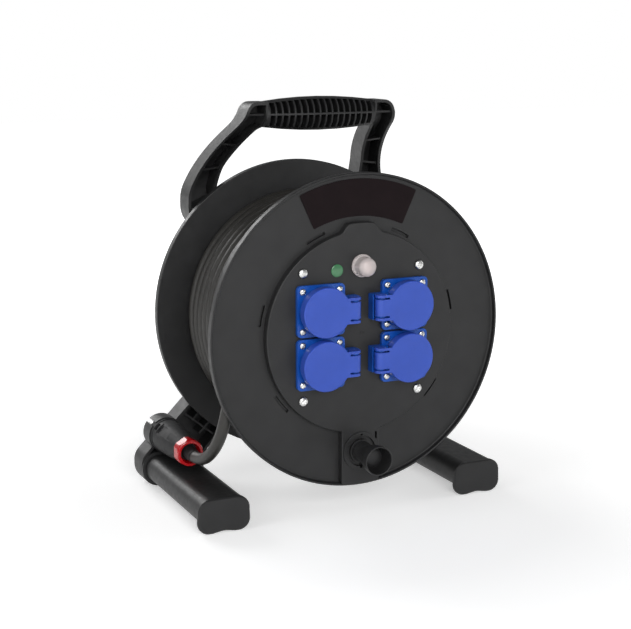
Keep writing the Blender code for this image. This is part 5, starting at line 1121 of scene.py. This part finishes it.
def make_sockets():
    base, insert, lid = make_socket_base(), make_socket_insert(), make_socket_lid()
    spots = [(x, z) for x in (-SOCKET_SCREW_OFFSET, SOCKET_SCREW_OFFSET)
             for z in (-SOCKET_SCREW_OFFSET, SOCKET_SCREW_OFFSET)]
    seat = SOCKET_PLATE_FRONT_Y + SOCKET_DISH_DEPTH
    dishes = []
    for spot in spots:
        dishes.append(rod(SOCKET_SCREW_HEAD + SOCKET_DISH_GAP, SOCKET_PLATE_FRONT_Y - REACH, seat,
                          ROUND_SMALL, spot))
        dishes.append(rod(SOCKET_SCREW_BORE, SOCKET_PLATE_FRONT_Y, seat + SOCKET_BORE_DEPTH,
                          ROUND_SMALL, spot))
    carve(base, dishes)
    screw = pan_screw(SOCKET_SCREW_HEAD, SOCKET_SCREW_RISE, seat - HAIR, SOCKET_SCREW_SHANK,
                      seat + SOCKET_SCREW_LENGTH)
    for number, (x, z) in enumerate(SOCKET_PLACES, 1):
        side = 1 if x < 0 else -1
        turn = 0.0 if side > 0 else pi
        here, pin = (x, 0.0, z), (x + side * HINGE_OFFSET, HINGE_PIN_Y, z)
        parts = ((base, "housing", "base", "drum", here, 0.0003),
                 (insert, "contacts", "insert", "drum", here, 0.0003),
                 (lid, "cover", "lid", f"lid_{number}", pin, 0.0004))
        for piece, word, node, rides_on, place, edge in parts:
            finish(twin(piece), f"socket_{number}_{word}", f"socket_{node}_{number}", rides_on,
                   place, turn, edge)
        for count, (dx, dz) in enumerate(spots, 1):
            finish(twin(screw), f"socket_{number}_screw_{count}", None,
                   place=(x + side * dx, 0.0, z + side * dz), turn=0.9 * count + number,
                   edge=0.0001, look="steel")
    for spare in (base, insert, lid, screw):
        bpy.data.objects.remove(spare)


# ---------------------------------------------------------------- lamp, cut-out and its boot
def make_lamp():
    face, edge = SEAT_FACE_Y, LAMP_EDGE
    profile = [(0, face - LAMP_RISE)]
    profile += arc(0, face - edge, LAMP_RADIUS, edge - LAMP_RISE, 1, 0, 8)[1:]
    profile += [(LAMP_RADIUS, face), (LAMP_NECK_RADIUS, face), (LAMP_NECK_RADIUS, LAMP_REAR_Y),
                (0, LAMP_REAR_Y)]
    finish(turned(profile, ROUND_BUTTON), "pilot_lamp_lens", "pilot_lamp",
           place=(LAMP_X, 0.0, LAMP_Z), edge=0.0001)


def make_breaker():
    back = PANEL_FRONT_Y + PANEL_WALL + FIT_GAP
    half_width = BREAKER_BODY_WIDTH / 2
    half_height = max(BREAKER_BODY_HEIGHT / 2, BREAKER_NECK_RADIUS)
    body = block((-half_width, half_width), (back, BREAKER_BODY_REAR_Y),
                 (-half_height, half_height))
    join(body, [rod(BREAKER_NECK_RADIUS, BREAKER_NECK_FRONT_Y, back + REACH, ROUND_BUTTON)])
    depth = BUTTON_REAR_Y + BUTTON_TRAVEL + FIT_GAP
    carve(body, [rod(BUTTON_RADIUS + RUN_GAP, BREAKER_NECK_FRONT_Y - REACH, depth, ROUND_BUTTON)])
    finish(body, "thermal_breaker_body", "thermal_breaker", place=BREAKER_PLACE, edge=0.0003,
           split=True)


def make_button():
    edge = BUTTON_ROUND
    profile = [(0, BUTTON_FRONT_Y)]
    profile += arc(BUTTON_RADIUS - edge, BUTTON_FRONT_Y + edge, edge, -edge, 1, 0, 6)
    profile += [(BUTTON_RADIUS, BUTTON_REAR_Y), (0, BUTTON_REAR_Y)]
    finish(turned(profile, ROUND_BUTTON), "reset_button_cap", "reset_button", "button",
           BREAKER_PLACE, edge=0.0)


def make_boot():
    """Clear cap over the reset button, open at the back."""
    inner = BOOT_RADIUS - BOOT_WALL
    base = SEAT_FACE_Y - BOOT_BASE_THICK
    dome = BOOT_RADIUS * BOOT_DOME_SHARE
    start = BOOT_TIP_Y + dome
    tip = BOOT_TIP_Y + BOOT_WALL
    profile = [(inner, SEAT_FACE_Y), (BOOT_BASE_RADIUS, SEAT_FACE_Y),
               (BOOT_BASE_RADIUS, base + BOOT_EDGE), (BOOT_BASE_RADIUS - BOOT_EDGE, base),
               (BOOT_RADIUS + BOOT_FILLET, base), (BOOT_RADIUS, base - BOOT_FILLET)]
    profile += arc(0, start, BOOT_RADIUS, -dome, 0, 1, 12)[:-1] + [(0, BOOT_TIP_Y), (0, tip)]
    profile += arc(0, start, inner, tip - start, 1, 0, 12)[1:]
    finish(turned(profile, ROUND_BUTTON), "button_boot_rubber", "button_boot", place=BREAKER_PLACE,
           edge=0.0)


# ---------------------------------------------------------------- crank knob
def make_knob_seat():
    bore = KNOB_SCREW_RADIUS + FIT_GAP
    rear = LIP_DEPTH - 2 * FIT_GAP
    front = SEAT_FACE_Y - SEAT_RISE
    hub_front = KNOB_BASE_Y + RUN_GAP
    groove = front + SEAT_GROOVE_DEPTH
    body = turned(((bore, hub_front), (SEAT_GROOVE_INNER, hub_front), (SEAT_GROOVE_INNER, groove),
                   (SEAT_GROOVE_OUTER, groove), (SEAT_GROOVE_OUTER, front), (SEAT_RADIUS, front),
                   (SEAT_RADIUS, SEAT_FACE_Y), (SEAT_NECK_RADIUS, SEAT_FACE_Y),
                   (SEAT_NECK_RADIUS, rear), (bore, rear)), ROUND_MIDDLE)
    half = SEAT_NOTCH_WIDTH / 2
    middle = (SEAT_RADIUS + SEAT_GROOVE_OUTER) / 2
    inner = SEAT_GROOVE_INNER - REACH
    carve(body, [block((-half, half), (front - REACH, groove + REACH), heights)
                 for heights in ((-middle, -inner), (inner, middle))])
    finish(body, "knob_seat_moulding", "knob_seat", place=KNOB_PLACE, edge=0.0003)


def make_knob():
    """Hollow turned knob that flares towards its tip, with a plain cap over its screw."""
    bore = KNOB_SCREW_RADIUS + RUN_GAP
    waist_y = KNOB_BASE_Y - KNOB_WAIST_HEIGHT
    flare_y = KNOB_TIP_Y + KNOB_RIM_HEIGHT
    profile = [(bore, KNOB_FLOOR_Y), (bore, KNOB_BASE_Y),
               (KNOB_BASE_RADIUS - KNOB_EDGE, KNOB_BASE_Y),
               (KNOB_BASE_RADIUS, KNOB_BASE_Y - KNOB_EDGE)]
    for share in [step / 16 for step in range(17)]:
        radius = KNOB_WAIST_RADIUS + (KNOB_TIP_RADIUS - KNOB_WAIST_RADIUS) * ease(share)
        profile.append((radius, waist_y + (flare_y - waist_y) * share))
    half = KNOB_LIP / 2
    profile += arc(KNOB_TIP_RADIUS - half, KNOB_TIP_Y + half, half, -half, 0, 2, 12)
    profile += [(KNOB_TIP_RADIUS - KNOB_LIP - 0.0002, KNOB_TIP_Y + KNOB_MOUTH_DEPTH),
                (KNOB_CUP_RADIUS - 0.0004, KNOB_FLOOR_Y - KNOB_CUP_ROUND),
                (KNOB_CUP_RADIUS - KNOB_CUP_ROUND, KNOB_FLOOR_Y)]
    finish(turned(profile, ROUND_MIDDLE), "crank_knob_moulding", "crank_knob", "knob", KNOB_PLACE,
           edge=0.0002)
    seat = KNOB_FLOOR_Y - 2 * FIT_GAP - KNOB_SCREW_HEAD_THICK
    rim = KNOB_FLOOR_Y - HAIR
    inner = KNOB_SCREW_HEAD + FIT_GAP
    outer = inner + KNOB_CAP_WALL
    profile = [(outer, rim), (outer, seat)] + arc(0, seat, outer, -KNOB_CAP_RISE, 0, 1, 6)[1:-1]
    profile += [(0, seat - KNOB_CAP_RISE), (0, seat), (inner, seat), (inner, rim)]
    finish(turned(profile, ROUND_MIDDLE), "knob_screw_cap", None, "knob", KNOB_PLACE, edge=0.0001,
           look="black_plastic")


# ---------------------------------------------------------------- stand
def frame_outline():
    """Outer outline seen from the front, before the arms lean."""
    low_shoulder = SHOULDER_X - WAIST_X
    foot_corner = WAIST_X - FOOT_OUTER_X
    inner_corner = LEG_HUB_Z - FOOT_LEG_INNER_X
    half = ((HANDLE_TOP_X, BAR_TOP_Z, HANDLE_CORNER), (SHOULDER_X, SHOULDER_TOP_Z, SHOULDER_CORNER),
            (SHOULDER_X, low_shoulder, SHOULDER_LOW_CORNER), (WAIST_X, 0.0, WAIST_CORNER),
            (FOOT_OUTER_X, foot_corner, FOOT_TOP_CORNER),
            (FOOT_OUTER_X, FLOOR_Z, FOOT_OUTER_CORNER), (FOOT_INNER_X, FLOOR_Z, FOOT_INNER_CORNER),
            (FOOT_LEG_INNER_X, inner_corner, LEG_INNER_CORNER), (0.0, LEG_HUB_Z, LEG_ARCH_RADIUS))
    return rounded(mirrored(half))


def handle_hole():
    """Opening between the arms, under the bar."""
    low_elbow = HOLE_FLOOR_Z + ELBOW_LOW_X
    half = ((HANDLE_INNER_X, BAR_TOP_Z - BAR_HEIGHT, HOLE_TOP_RADIUS),
            (ELBOW_X, ELBOW_Z, HOLE_ELBOW_RADIUS), (ELBOW_LOW_X, low_elbow, HOLE_SIDE_RADIUS),
            (0.0, HOLE_FLOOR_Z, HOLE_FLOOR_RADIUS))
    return rounded(mirrored(half))


def collar_outline(side, distance):
    centre = (side * FOOT_X, TUBE_CENTRE_Z)
    return grown(box_outline(TUBE_WIDTH, TUBE_HEIGHT, TUBE_CORNER, centre), distance)


def frame_ribs():
    """Centre lines of the stiffening ribs, as pairs of (x, z) points on the right half."""
    low, high = LEG_RIB_OFFSET, LEG_HUB_Z + WAIST_X - LEG_RIB_OFFSET
    arm_middle = (HOLE_FLOOR_Z - WAIST_X) / 2
    return [[(x, low - x) for x in LEG_RIB_X], [(x, high - x) for x in LEG_LOW_RIB_X],
            [(x, arm_middle + x) for x in ARM_RIB_X], ANKLE_RIB, SHOULDER_RIB, ELBOW_RIB, WRIST_RIB]


def channel(rear):
    """The hollow of the moulding, open to the front, with its islands and ribs left standing."""
    front = FRAME_FRONT_Y - REACH
    rib_front = FRAME_FRONT_Y + FRAME_RIB_SETBACK
    hollow = prism(grown(frame_outline(), -FRAME_WALL), front, rear)
    front, rear = front - REACH, rear + REACH
    stays = [prism(grown(handle_hole(), FRAME_WALL), front, rear),
             rod(FRAME_HUB_RADIUS, front, rear, ROUND_MIDDLE)]
    for side in (-1, 1):
        stays.append(prism(collar_outline(side, COLLAR_WALL), front, rear))
        for (x0, z0), (x1, z1) in frame_ribs():
            stays.append(bar((side * x0, z0), (side * x1, z1), FRAME_RIB, rib_front, rear))
        grip_end = [(side * GRIP_HALF_LENGTH, z) for z in (BAR_TOP_Z, BAR_TOP_Z - BAR_HEIGHT)]
        stays.append(bar(*grip_end, FRAME_RIB, front, rear))
    bar_line = (-SHOULDER_X, BAR_CENTRE_Z), (SHOULDER_X, BAR_CENTRE_Z)
    stays.append(bar(*bar_line, FRAME_RIB, rib_front, rear))
    return carve(hollow, stays)


def lean_of(z):
    """Forward shift of the arms at a height over the axle: two parabolas that meet at the knee."""
    if z <= LEAN_START_Z:
        return 0.0
    steepest = 2 * HANDLE_FORWARD / (LEAN_END_Z - LEAN_START_Z)
    if z <= LEAN_KNEE_Z:
        return steepest / 2 / (LEAN_KNEE_Z - LEAN_START_Z) * (z - LEAN_START_Z) ** 2
    if z < LEAN_END_Z:
        return HANDLE_FORWARD - steepest / 2 / (LEAN_END_Z - LEAN_KNEE_Z) * (LEAN_END_Z - z) ** 2
    return HANDLE_FORWARD


def lean_forward(body):
    with edited(body.data) as shape:
        for step in range(LEAN_STEPS + 1):
            level = LEAN_START_Z + (LEAN_END_Z - LEAN_START_Z) * step / LEAN_STEPS
            everything = shape.verts[:] + shape.edges[:] + shape.faces[:]
            bmesh.ops.bisect_plane(shape, geom=everything, plane_co=(0.0, 0.0, level),
                                   plane_no=(0.0, 0.0, 1.0))
        for vert in shape.verts:
            vert.co.y -= lean_of(vert.co.z)
        bmesh.ops.triangulate(shape, faces=shape.faces)


def grip_size(x):
    """Share of the grip's full section at a distance from its middle."""
    share = min(1.0, abs(x) / GRIP_HALF_LENGTH)
    return 1.0 - (1.0 - GRIP_END_SHRINK) * share * share


def grip_pocket(x_low, x_high, side):
    """Space between two fins, above or below the mid rib, open to the front."""
    size = grip_size((x_low + x_high) / 2)
    height = GRIP_HALF_HEIGHT * size - GRIP_WALL
    depth = GRIP_HALF_DEPTH * size - GRIP_WALL
    floor = GRIP_RIB_WALL / 2
    front = BAR_CENTRE_Y - GRIP_HALF_DEPTH - REACH
    lowest = asin(floor / height) / (pi / 2)
    outline = [(front, height), (front, floor)] + arc(BAR_CENTRE_Y, 0, depth, height, lowest, 1, 2)
    return skin([[(x, y, BAR_CENTRE_Z + side * z) for y, z in outline] for x in (x_low, x_high)])


def make_grip():
    """Swollen finned grip: an elliptic envelope with pockets open to the front."""
    stations, segments = 6, 14
    rings = []
    for step in range(stations + 1):
        x = GRIP_HALF_LENGTH * (2 * step / stations - 1)
        depth, height = GRIP_HALF_DEPTH * grip_size(x), GRIP_HALF_HEIGHT * grip_size(x)
        ring = arc(BAR_CENTRE_Y, BAR_CENTRE_Z, depth, height, 0, 4, segments)[:-1]
        rings.append([(x, y, z) for y, z in ring])
    body = skin(rings)
    gaps = GRIP_FINS + 1
    span = 2 * (GRIP_HALF_LENGTH - GRIP_FIN_WALL * 2)
    edges = [-span / 2 + span * step / gaps for step in range(gaps + 1)]
    half = GRIP_FIN_WALL / 2
    pockets = []
    for low, high in zip(edges, edges[1:]):
        pockets += [grip_pocket(low + half, high - half, side) for side in (1, -1)]
    return carve(body, pockets)


def foot_drill(side, low, radius, high):
    place = Matrix.Translation((side * FOOT_X, FOOT_SCREW_Y, 0.0)) @ UPRIGHT
    return rod(radius, low, high, ROUND_SMALL, (0.0, 0.0), place)


def make_frame():
    back = FRAME_REAR_Y - FRAME_WALL
    front, rear = FRAME_FRONT_Y - REACH, FRAME_REAR_Y + REACH
    body = prism(frame_outline(), FRAME_FRONT_Y, FRAME_REAR_Y)
    carve(body, [prism(handle_hole(), front, rear), channel(back)])
    gap_x = GRIP_HALF_LENGTH - GRIP_FIN_WALL
    carve(body, [block((-gap_x, gap_x), (front, rear),
                       (BAR_TOP_Z - BAR_HEIGHT - REACH, BAR_TOP_Z + REACH))])
    lean_forward(body)
    clip = (PLUG_X, PLUG_Z)
    additions = [make_grip(), rod(FRAME_HUB_RADIUS, FRAME_HUB_FRONT_Y, back + REACH, ROUND_MIDDLE)]
    additions += [prism(collar_outline(side, FIT_GAP + COLLAR_WALL), COLLAR_FRONT_Y, back + REACH)
                  for side in (-1, 1)]
    additions.append(rod(HOLDER_RADIUS, HOLDER_FRONT_Y, HOLDER_REAR_Y, ROUND_MIDDLE, clip))
    join(body, additions)
    outwards = HOLDER_RADIUS * 1.2 / sqrt(2)
    inwards = HOLDER_RADIUS * 0.5 / sqrt(2)
    cuts = [hole(AXLE_RADIUS + FIT_GAP, FRAME_HUB_FRONT_Y, FRAME_REAR_Y, ROUND_MIDDLE),
            rod(AXLE_HEAD_RADIUS + RUN_GAP, HEAD_SEAT_Y, rear, ROUND_MIDDLE),
            hole(HOLDER_RADIUS - HOLDER_WALL, HOLDER_FRONT_Y, HOLDER_REAR_Y, ROUND_MIDDLE, clip),
            bar((PLUG_X - inwards, PLUG_Z + inwards), (PLUG_X - outwards, PLUG_Z + outwards),
                HOLDER_SLIT, HOLDER_FRONT_Y - REACH, HOLDER_REAR_Y + REACH)]
    for side in (-1, 1):
        cuts.append(prism(collar_outline(side, FIT_GAP), COLLAR_FRONT_Y - REACH, back))
        cuts.append(foot_drill(side, FLOOR_Z - REACH, FOOT_SCREW_HEAD + FIT_GAP,
                               FLOOR_Z + FOOT_SCREW_RECESS))
        cuts.append(foot_drill(side, FLOOR_Z - REACH, FOOT_SCREW_RADIUS + FIT_GAP, TUBE_CENTRE_Z))
    carve(body, cuts)
    finish(body, "carrying_frame_moulding", "carrying_frame", "stand", split=True)


def make_foot_cap(centre, tube_inner):
    """End cap with two lobes that stand on the floor."""
    half = CAP_WIDTH / 2
    side = ((half, CAP_TOP_Z, CAP_TOP_CORNER), (half - CAP_WAIST, TUBE_CENTRE_Z, CAP_WAIST_CORNER),
            (half, FLOOR_Z, CAP_CORNER), (CAP_LOBE_END, FLOOR_Z, CAP_LOBE_CORNER),
            (0.0, FLOOR_Z + CAP_DIP, CAP_DIP_CORNER))
    outline = rounded([(centre[0] + x, z, radius) for x, z, radius in mirrored(side)])
    rear = TUBE_FRONT_Y - FIT_GAP
    front = rear - CAP_PLATE
    plate = skin([ring_at(grown(outline, -CAP_EDGE), front), ring_at(outline, front + CAP_EDGE),
                  ring_at(outline, rear)])
    return join(plate, [prism(grown(tube_inner, -FIT_GAP), rear - REACH, rear + CAP_PLUG_DEPTH)])


def make_feet():
    rear = FRAME_REAR_Y - FRAME_WALL - FIT_GAP
    for side, word in ((-1, "left"), (1, "right")):
        centre = (side * FOOT_X, TUBE_CENTRE_Z)
        outer = box_outline(TUBE_WIDTH, TUBE_HEIGHT, TUBE_CORNER, centre)
        inner = box_outline(TUBE_WIDTH - 2 * TUBE_WALL, TUBE_HEIGHT - 2 * TUBE_WALL,
                            TUBE_CORNER - TUBE_WALL, centre)
        body = skin([ring_at(inner, TUBE_FRONT_Y), ring_at(outer, TUBE_FRONT_Y),
                     ring_at(outer, rear), ring_at(inner, rear)], True)
        carve(body, [foot_drill(side, FLOOR_Z, FOOT_SCREW_RADIUS + FIT_GAP, TUBE_CENTRE_Z)])
        finish(body, f"foot_tube_{word}_steel", f"foot_tube_{word}", "stand", edge=0.0003)
        finish(make_foot_cap(centre, inner), f"foot_cap_{word}_moulding", f"foot_cap_{word}",
               "stand", edge=0.0)


# ---------------------------------------------------------------- plug
def along_pins(distance):
    """Point at a distance from the plug's axis, on the line of its pins."""
    return (distance * cos(PIN_LINE), distance * sin(PIN_LINE))


def make_carrier():
    radius = HOLDER_RADIUS - HOLDER_WALL - FIT_GAP
    front, rear = CARRIER_FRONT_Y, CARRIER_REAR_Y
    shoulder = front + CARRIER_FLANGE_THICK
    body = turned(((0, front), (CARRIER_FLANGE_RADIUS, front), (CARRIER_FLANGE_RADIUS, shoulder),
                   (radius, shoulder), (radius, rear), (0, rear)), ROUND_MIDDLE)
    carve(body, [rod(PIN_RADIUS + FIT_GAP, rear - PIN_SEAT, rear + REACH, ROUND_SMALL,
                     along_pins(side * CONTACT_PITCH / 2)) for side in (-1, 1)])
    finish(body, "plug_carrier_moulding", "plug_contact_carrier", "stand", PLUG_PLACE)


def make_plug_body():
    """Tapered body with two flats; the badge recess is bare, the notch shows a screw."""
    front, rear = PLUG_BODY_FRONT_Y, PLUG_BODY_REAR_Y
    slim, wide = PLUG_BODY_FRONT_RADIUS, PLUG_BODY_REAR_RADIUS
    swell = front + PLUG_SWELL
    lead = PLUG_LEAD
    body = turned(((0, front), (slim - lead, front), (slim, front + lead),
                   (slim, front + PLUG_COLLAR), (wide - PLUG_TAPER, swell),
                   (wide, rear - PLUG_COLLAR), (wide, rear), (0, rear)), ROUND_MIDDLE)
    flat = wide - PLUG_BADGE_FLAT
    outside = 2 * wide
    flat_rear = rear - PLUG_NOTCH_LENGTH - PLUG_MARGIN
    badge_rear = flat_rear - PLUG_MARGIN
    cuts = ((flat, swell - PLUG_COLLAR, flat_rear, outside),
            (flat - PLUG_BADGE_DEPTH, badge_rear - PLUG_BADGE_LENGTH, badge_rear, PLUG_BADGE_WIDTH),
            (PLUG_SCREW_OFFSET - PLUG_SCREW_HEAD - FIT_GAP, rear - PLUG_NOTCH_LENGTH, rear + REACH,
             PLUG_NOTCH_WIDTH))
    tools = []
    for near, start, end, width in cuts:
        half = width / 2
        outline = [(near, -half), (outside, -half), (outside, half), (near, half)]
        tools.append(prism(outline, start, end, Matrix.Rotation(-PIN_LINE, 4, "Y")))
    return carve(body, tools)


def make_nut():
    """Hexagon with turned corners, a round rim in front and a flared mouth."""
    front, rear = GLAND_NUT_FRONT_Y, GLAND_NUT_REAR_Y
    body = rod(GLAND_NUT_FLATS / 2 / cos(pi / 6), front + GLAND_NUT_CHAMFER, rear, 6)
    join(body, [rod(GLAND_NUT_RIM, front, rear - REACH, ROUND_MIDDLE)])
    corner = GLAND_NUT_FLATS / 2 * NUT_CORNER_SHARE
    outside = 2 * corner
    trim = ((GLAND_NUT_RIM, front - REACH), (outside, front - REACH), (outside, rear + REACH),
            (corner, rear + REACH), (corner, front + NUT_SHOULDER),
            (GLAND_NUT_RIM, front + GLAND_NUT_CHAMFER / 2))
    mouth = ((0, front - REACH), (NUT_MOUTH, front - REACH), (NUT_MOUTH, front),
             (GLAND_BORE, front + NUT_MOUTH_DEPTH), (0, front + NUT_MOUTH_DEPTH))
    carve(body, [rod(GLAND_BORE, front - REACH, rear - GLAND_NUT_FLOOR, ROUND_MIDDLE),
                 turned(mouth, ROUND_MIDDLE), turned(trim, ROUND_MIDDLE)])
    finish(body, "gland_nut_red", "gland_nut", "stand", PLUG_PLACE, split=True)


def make_strain_relief():
    """Tapered rubber sleeve from inside the nut onto the cord, narrower than the nut's bore."""
    bore = CORD_DIAMETER / 2 + HAIR / 2
    end = GLAND_NUT_REAR_Y - GLAND_NUT_FLOOR - FIT_GAP
    neck, tip = end - SLEEVE_COLLAR, end - SLEEVE_LENGTH
    outer = GLAND_BORE - FIT_GAP
    profile = [(bore, end), (outer, end), (outer, neck)]
    for share in [step / 12 for step in range(13)]:
        rest = (1 - share) ** SLEEVE_CURVE
        radius = bore + SLEEVE_TIP_WALL + (SLEEVE_WALL - SLEEVE_TIP_WALL) * rest
        profile.append((radius, neck + (tip - neck) * share))
    profile.append((bore, tip))
    finish(turned(profile, ROUND_MIDDLE), "gland_sleeve_tapered", "gland_insert", "stand",
           PLUG_PLACE, edge=0.0)


def make_plug():
    make_carrier()
    finish(make_plug_body(), "plug_body_rubber", "plug_body", "stand", PLUG_PLACE)
    x, z = along_pins(PLUG_SCREW_OFFSET)
    head = PLUG_BODY_REAR_Y - PLUG_NOTCH_LENGTH + FIT_GAP
    rise = PLUG_SCREW_RISE
    screw = pan_screw(PLUG_SCREW_HEAD, rise, head + rise, PLUG_SCREW_HEAD * 0.8,
                      head + PLUG_NOTCH_LENGTH - 2 * FIT_GAP, slots=1)
    finish(screw, "plug_screw_slotted", "plug_screw", "stand", (PLUG_X + x, 0.0, PLUG_Z + z),
           edge=0.0001, look="bright_steel")
    make_nut()
    make_strain_relief()


# ---------------------------------------------------------------- the cord
def on_drum(radius, angle, y):
    return Vector((radius * cos(angle), y, radius * sin(angle)))


def outer_layer():
    """Centre line from the ramp at the rear flange to the straight run off the winding."""
    run = LIFT_ANGLE / (2 * pi)
    end = LIFT_OFF_ANGLE + LIFT_ANGLE
    count = round((WINDING_TURNS - run) * TURN_POINTS)
    first = end - 2 * pi * (count / TURN_POINTS + run)
    ramp = round(RAMP_TURNS * TURN_POINTS)
    points = []
    for step in range(ramp):
        radius = INNER_LAYER_RADIUS + (WINDING_RADIUS - INNER_LAYER_RADIUS) * ease(step / ramp)
        points.append(on_drum(radius, first - 2 * pi * (ramp - step) / TURN_POINTS, WINDING_REAR_Y))
    for step in range(count + 1):
        left = (count - step) / TURN_POINTS + run
        y = WINDING_FRONT_Y + (WINDING_REAR_Y - WINDING_FRONT_Y) * left / WINDING_TURNS
        points.append(on_drum(WINDING_RADIUS, end - 2 * pi * left, y))
    points.append(on_drum(LIFTED_RADIUS, end, WINDING_FRONT_Y))
    return points, first - 2 * pi * ramp / TURN_POINTS


def inner_layer(last_angle):
    """Centre line of the layer below, from the front flange to the foot of the ramp."""
    count = round(WINDING_TURNS * TURN_POINTS)
    points = []
    for step in range(count + 1):
        left = (count - step) / TURN_POINTS
        y = WINDING_REAR_Y + (WINDING_FRONT_Y - WINDING_REAR_Y) * left / WINDING_TURNS
        points.append(on_drum(INNER_LAYER_RADIUS, last_angle - 2 * pi * left, y))
    return points


def smooth_route(route, first_way, last_way, step):
    """Points of a Hermite spline through the route's own points."""
    spots = [Vector(point) for point in route]
    ways = [Vector(first_way)]
    for before, after in zip(spots, spots[2:]):
        ways.append((after - before).normalized())
    ways.append(Vector(last_way))
    points = [spots[0]]
    for index in range(len(spots) - 1):
        span = (spots[index + 1] - spots[index]).length
        pieces = max(1, round(span / step))
        for piece in range(1, pieces + 1):
            t = piece / pieces
            point = spots[index].lerp(spots[index + 1], ease(t))
            point += (t ** 3 - 2 * t ** 2 + t) * span * ways[index]
            point += (t ** 3 - t ** 2) * span * ways[index + 1]
            points.append(point)
    return points


def cord_piece(name, points, rides_on, node, resolution=5):
    """Round cord along the points, on its body and in place of its CAD node."""
    curve = bpy.data.curves.new(name, "CURVE")
    curve.dimensions = "3D"
    curve.bevel_depth = CORD_DIAMETER / 2
    curve.bevel_resolution = resolution
    curve.use_fill_caps = True
    spline = curve.splines.new("POLY")
    spline.points.add(len(points) - 1)
    for spot, point in zip(spline.points, points):
        spot.co = (*(Vector(point) + DRUM), 1.0)
    spline.use_smooth = True
    curve.materials.append(LOOKS["cord_rubber"])
    body = bpy.data.objects.new(name, curve)
    bpy.context.scene.collection.objects.link(body)
    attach(body, rides_on)
    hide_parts(node)
    return body


def make_cords():
    outer, foot_angle = outer_layer()
    cord_piece("winding_outer_layer", outer, "drum", "cord_winding")
    cord_piece("winding_inner_layer", inner_layer(foot_angle), "drum", "cord_inner_layers",
               resolution=3)
    before, end = outer[-2:]
    way = (end - before).normalized()
    start = end + way * FIT_GAP
    gland = Vector((PLUG_X, GLAND_Y, PLUG_Z))
    inwards = Vector((0.0, 1.0, 0.0))
    route = (start, start + way * CORD_DIAMETER, *CORD_ROUTE, gland - inwards * CORD_DIAMETER,
             gland)
    points = smooth_route(route, way, inwards, CORD_STEP)
    free = cord_piece("free_lead", points, "stand", "free_cord")


# ---------------------------------------------------------------- assembly
def dress_nodes():
    for name, node in NODES.items():
        slot = slot_of(frame["record"], name)
        node.data.materials.clear()
        node.data.materials.append(LOOKS[slot or "black_plastic"])


def main():
    make_studio()
    make_looks()
    for make in (make_plug, make_cords, make_frame, make_feet, make_barrel, make_front_flange,
                 make_rear_flange, make_panel, make_panel_screws, make_label_plate, make_sockets,
                 make_lamp, make_breaker, make_button, make_boot, make_knob_seat, make_knob,
                 dress_nodes):
        make()


main()
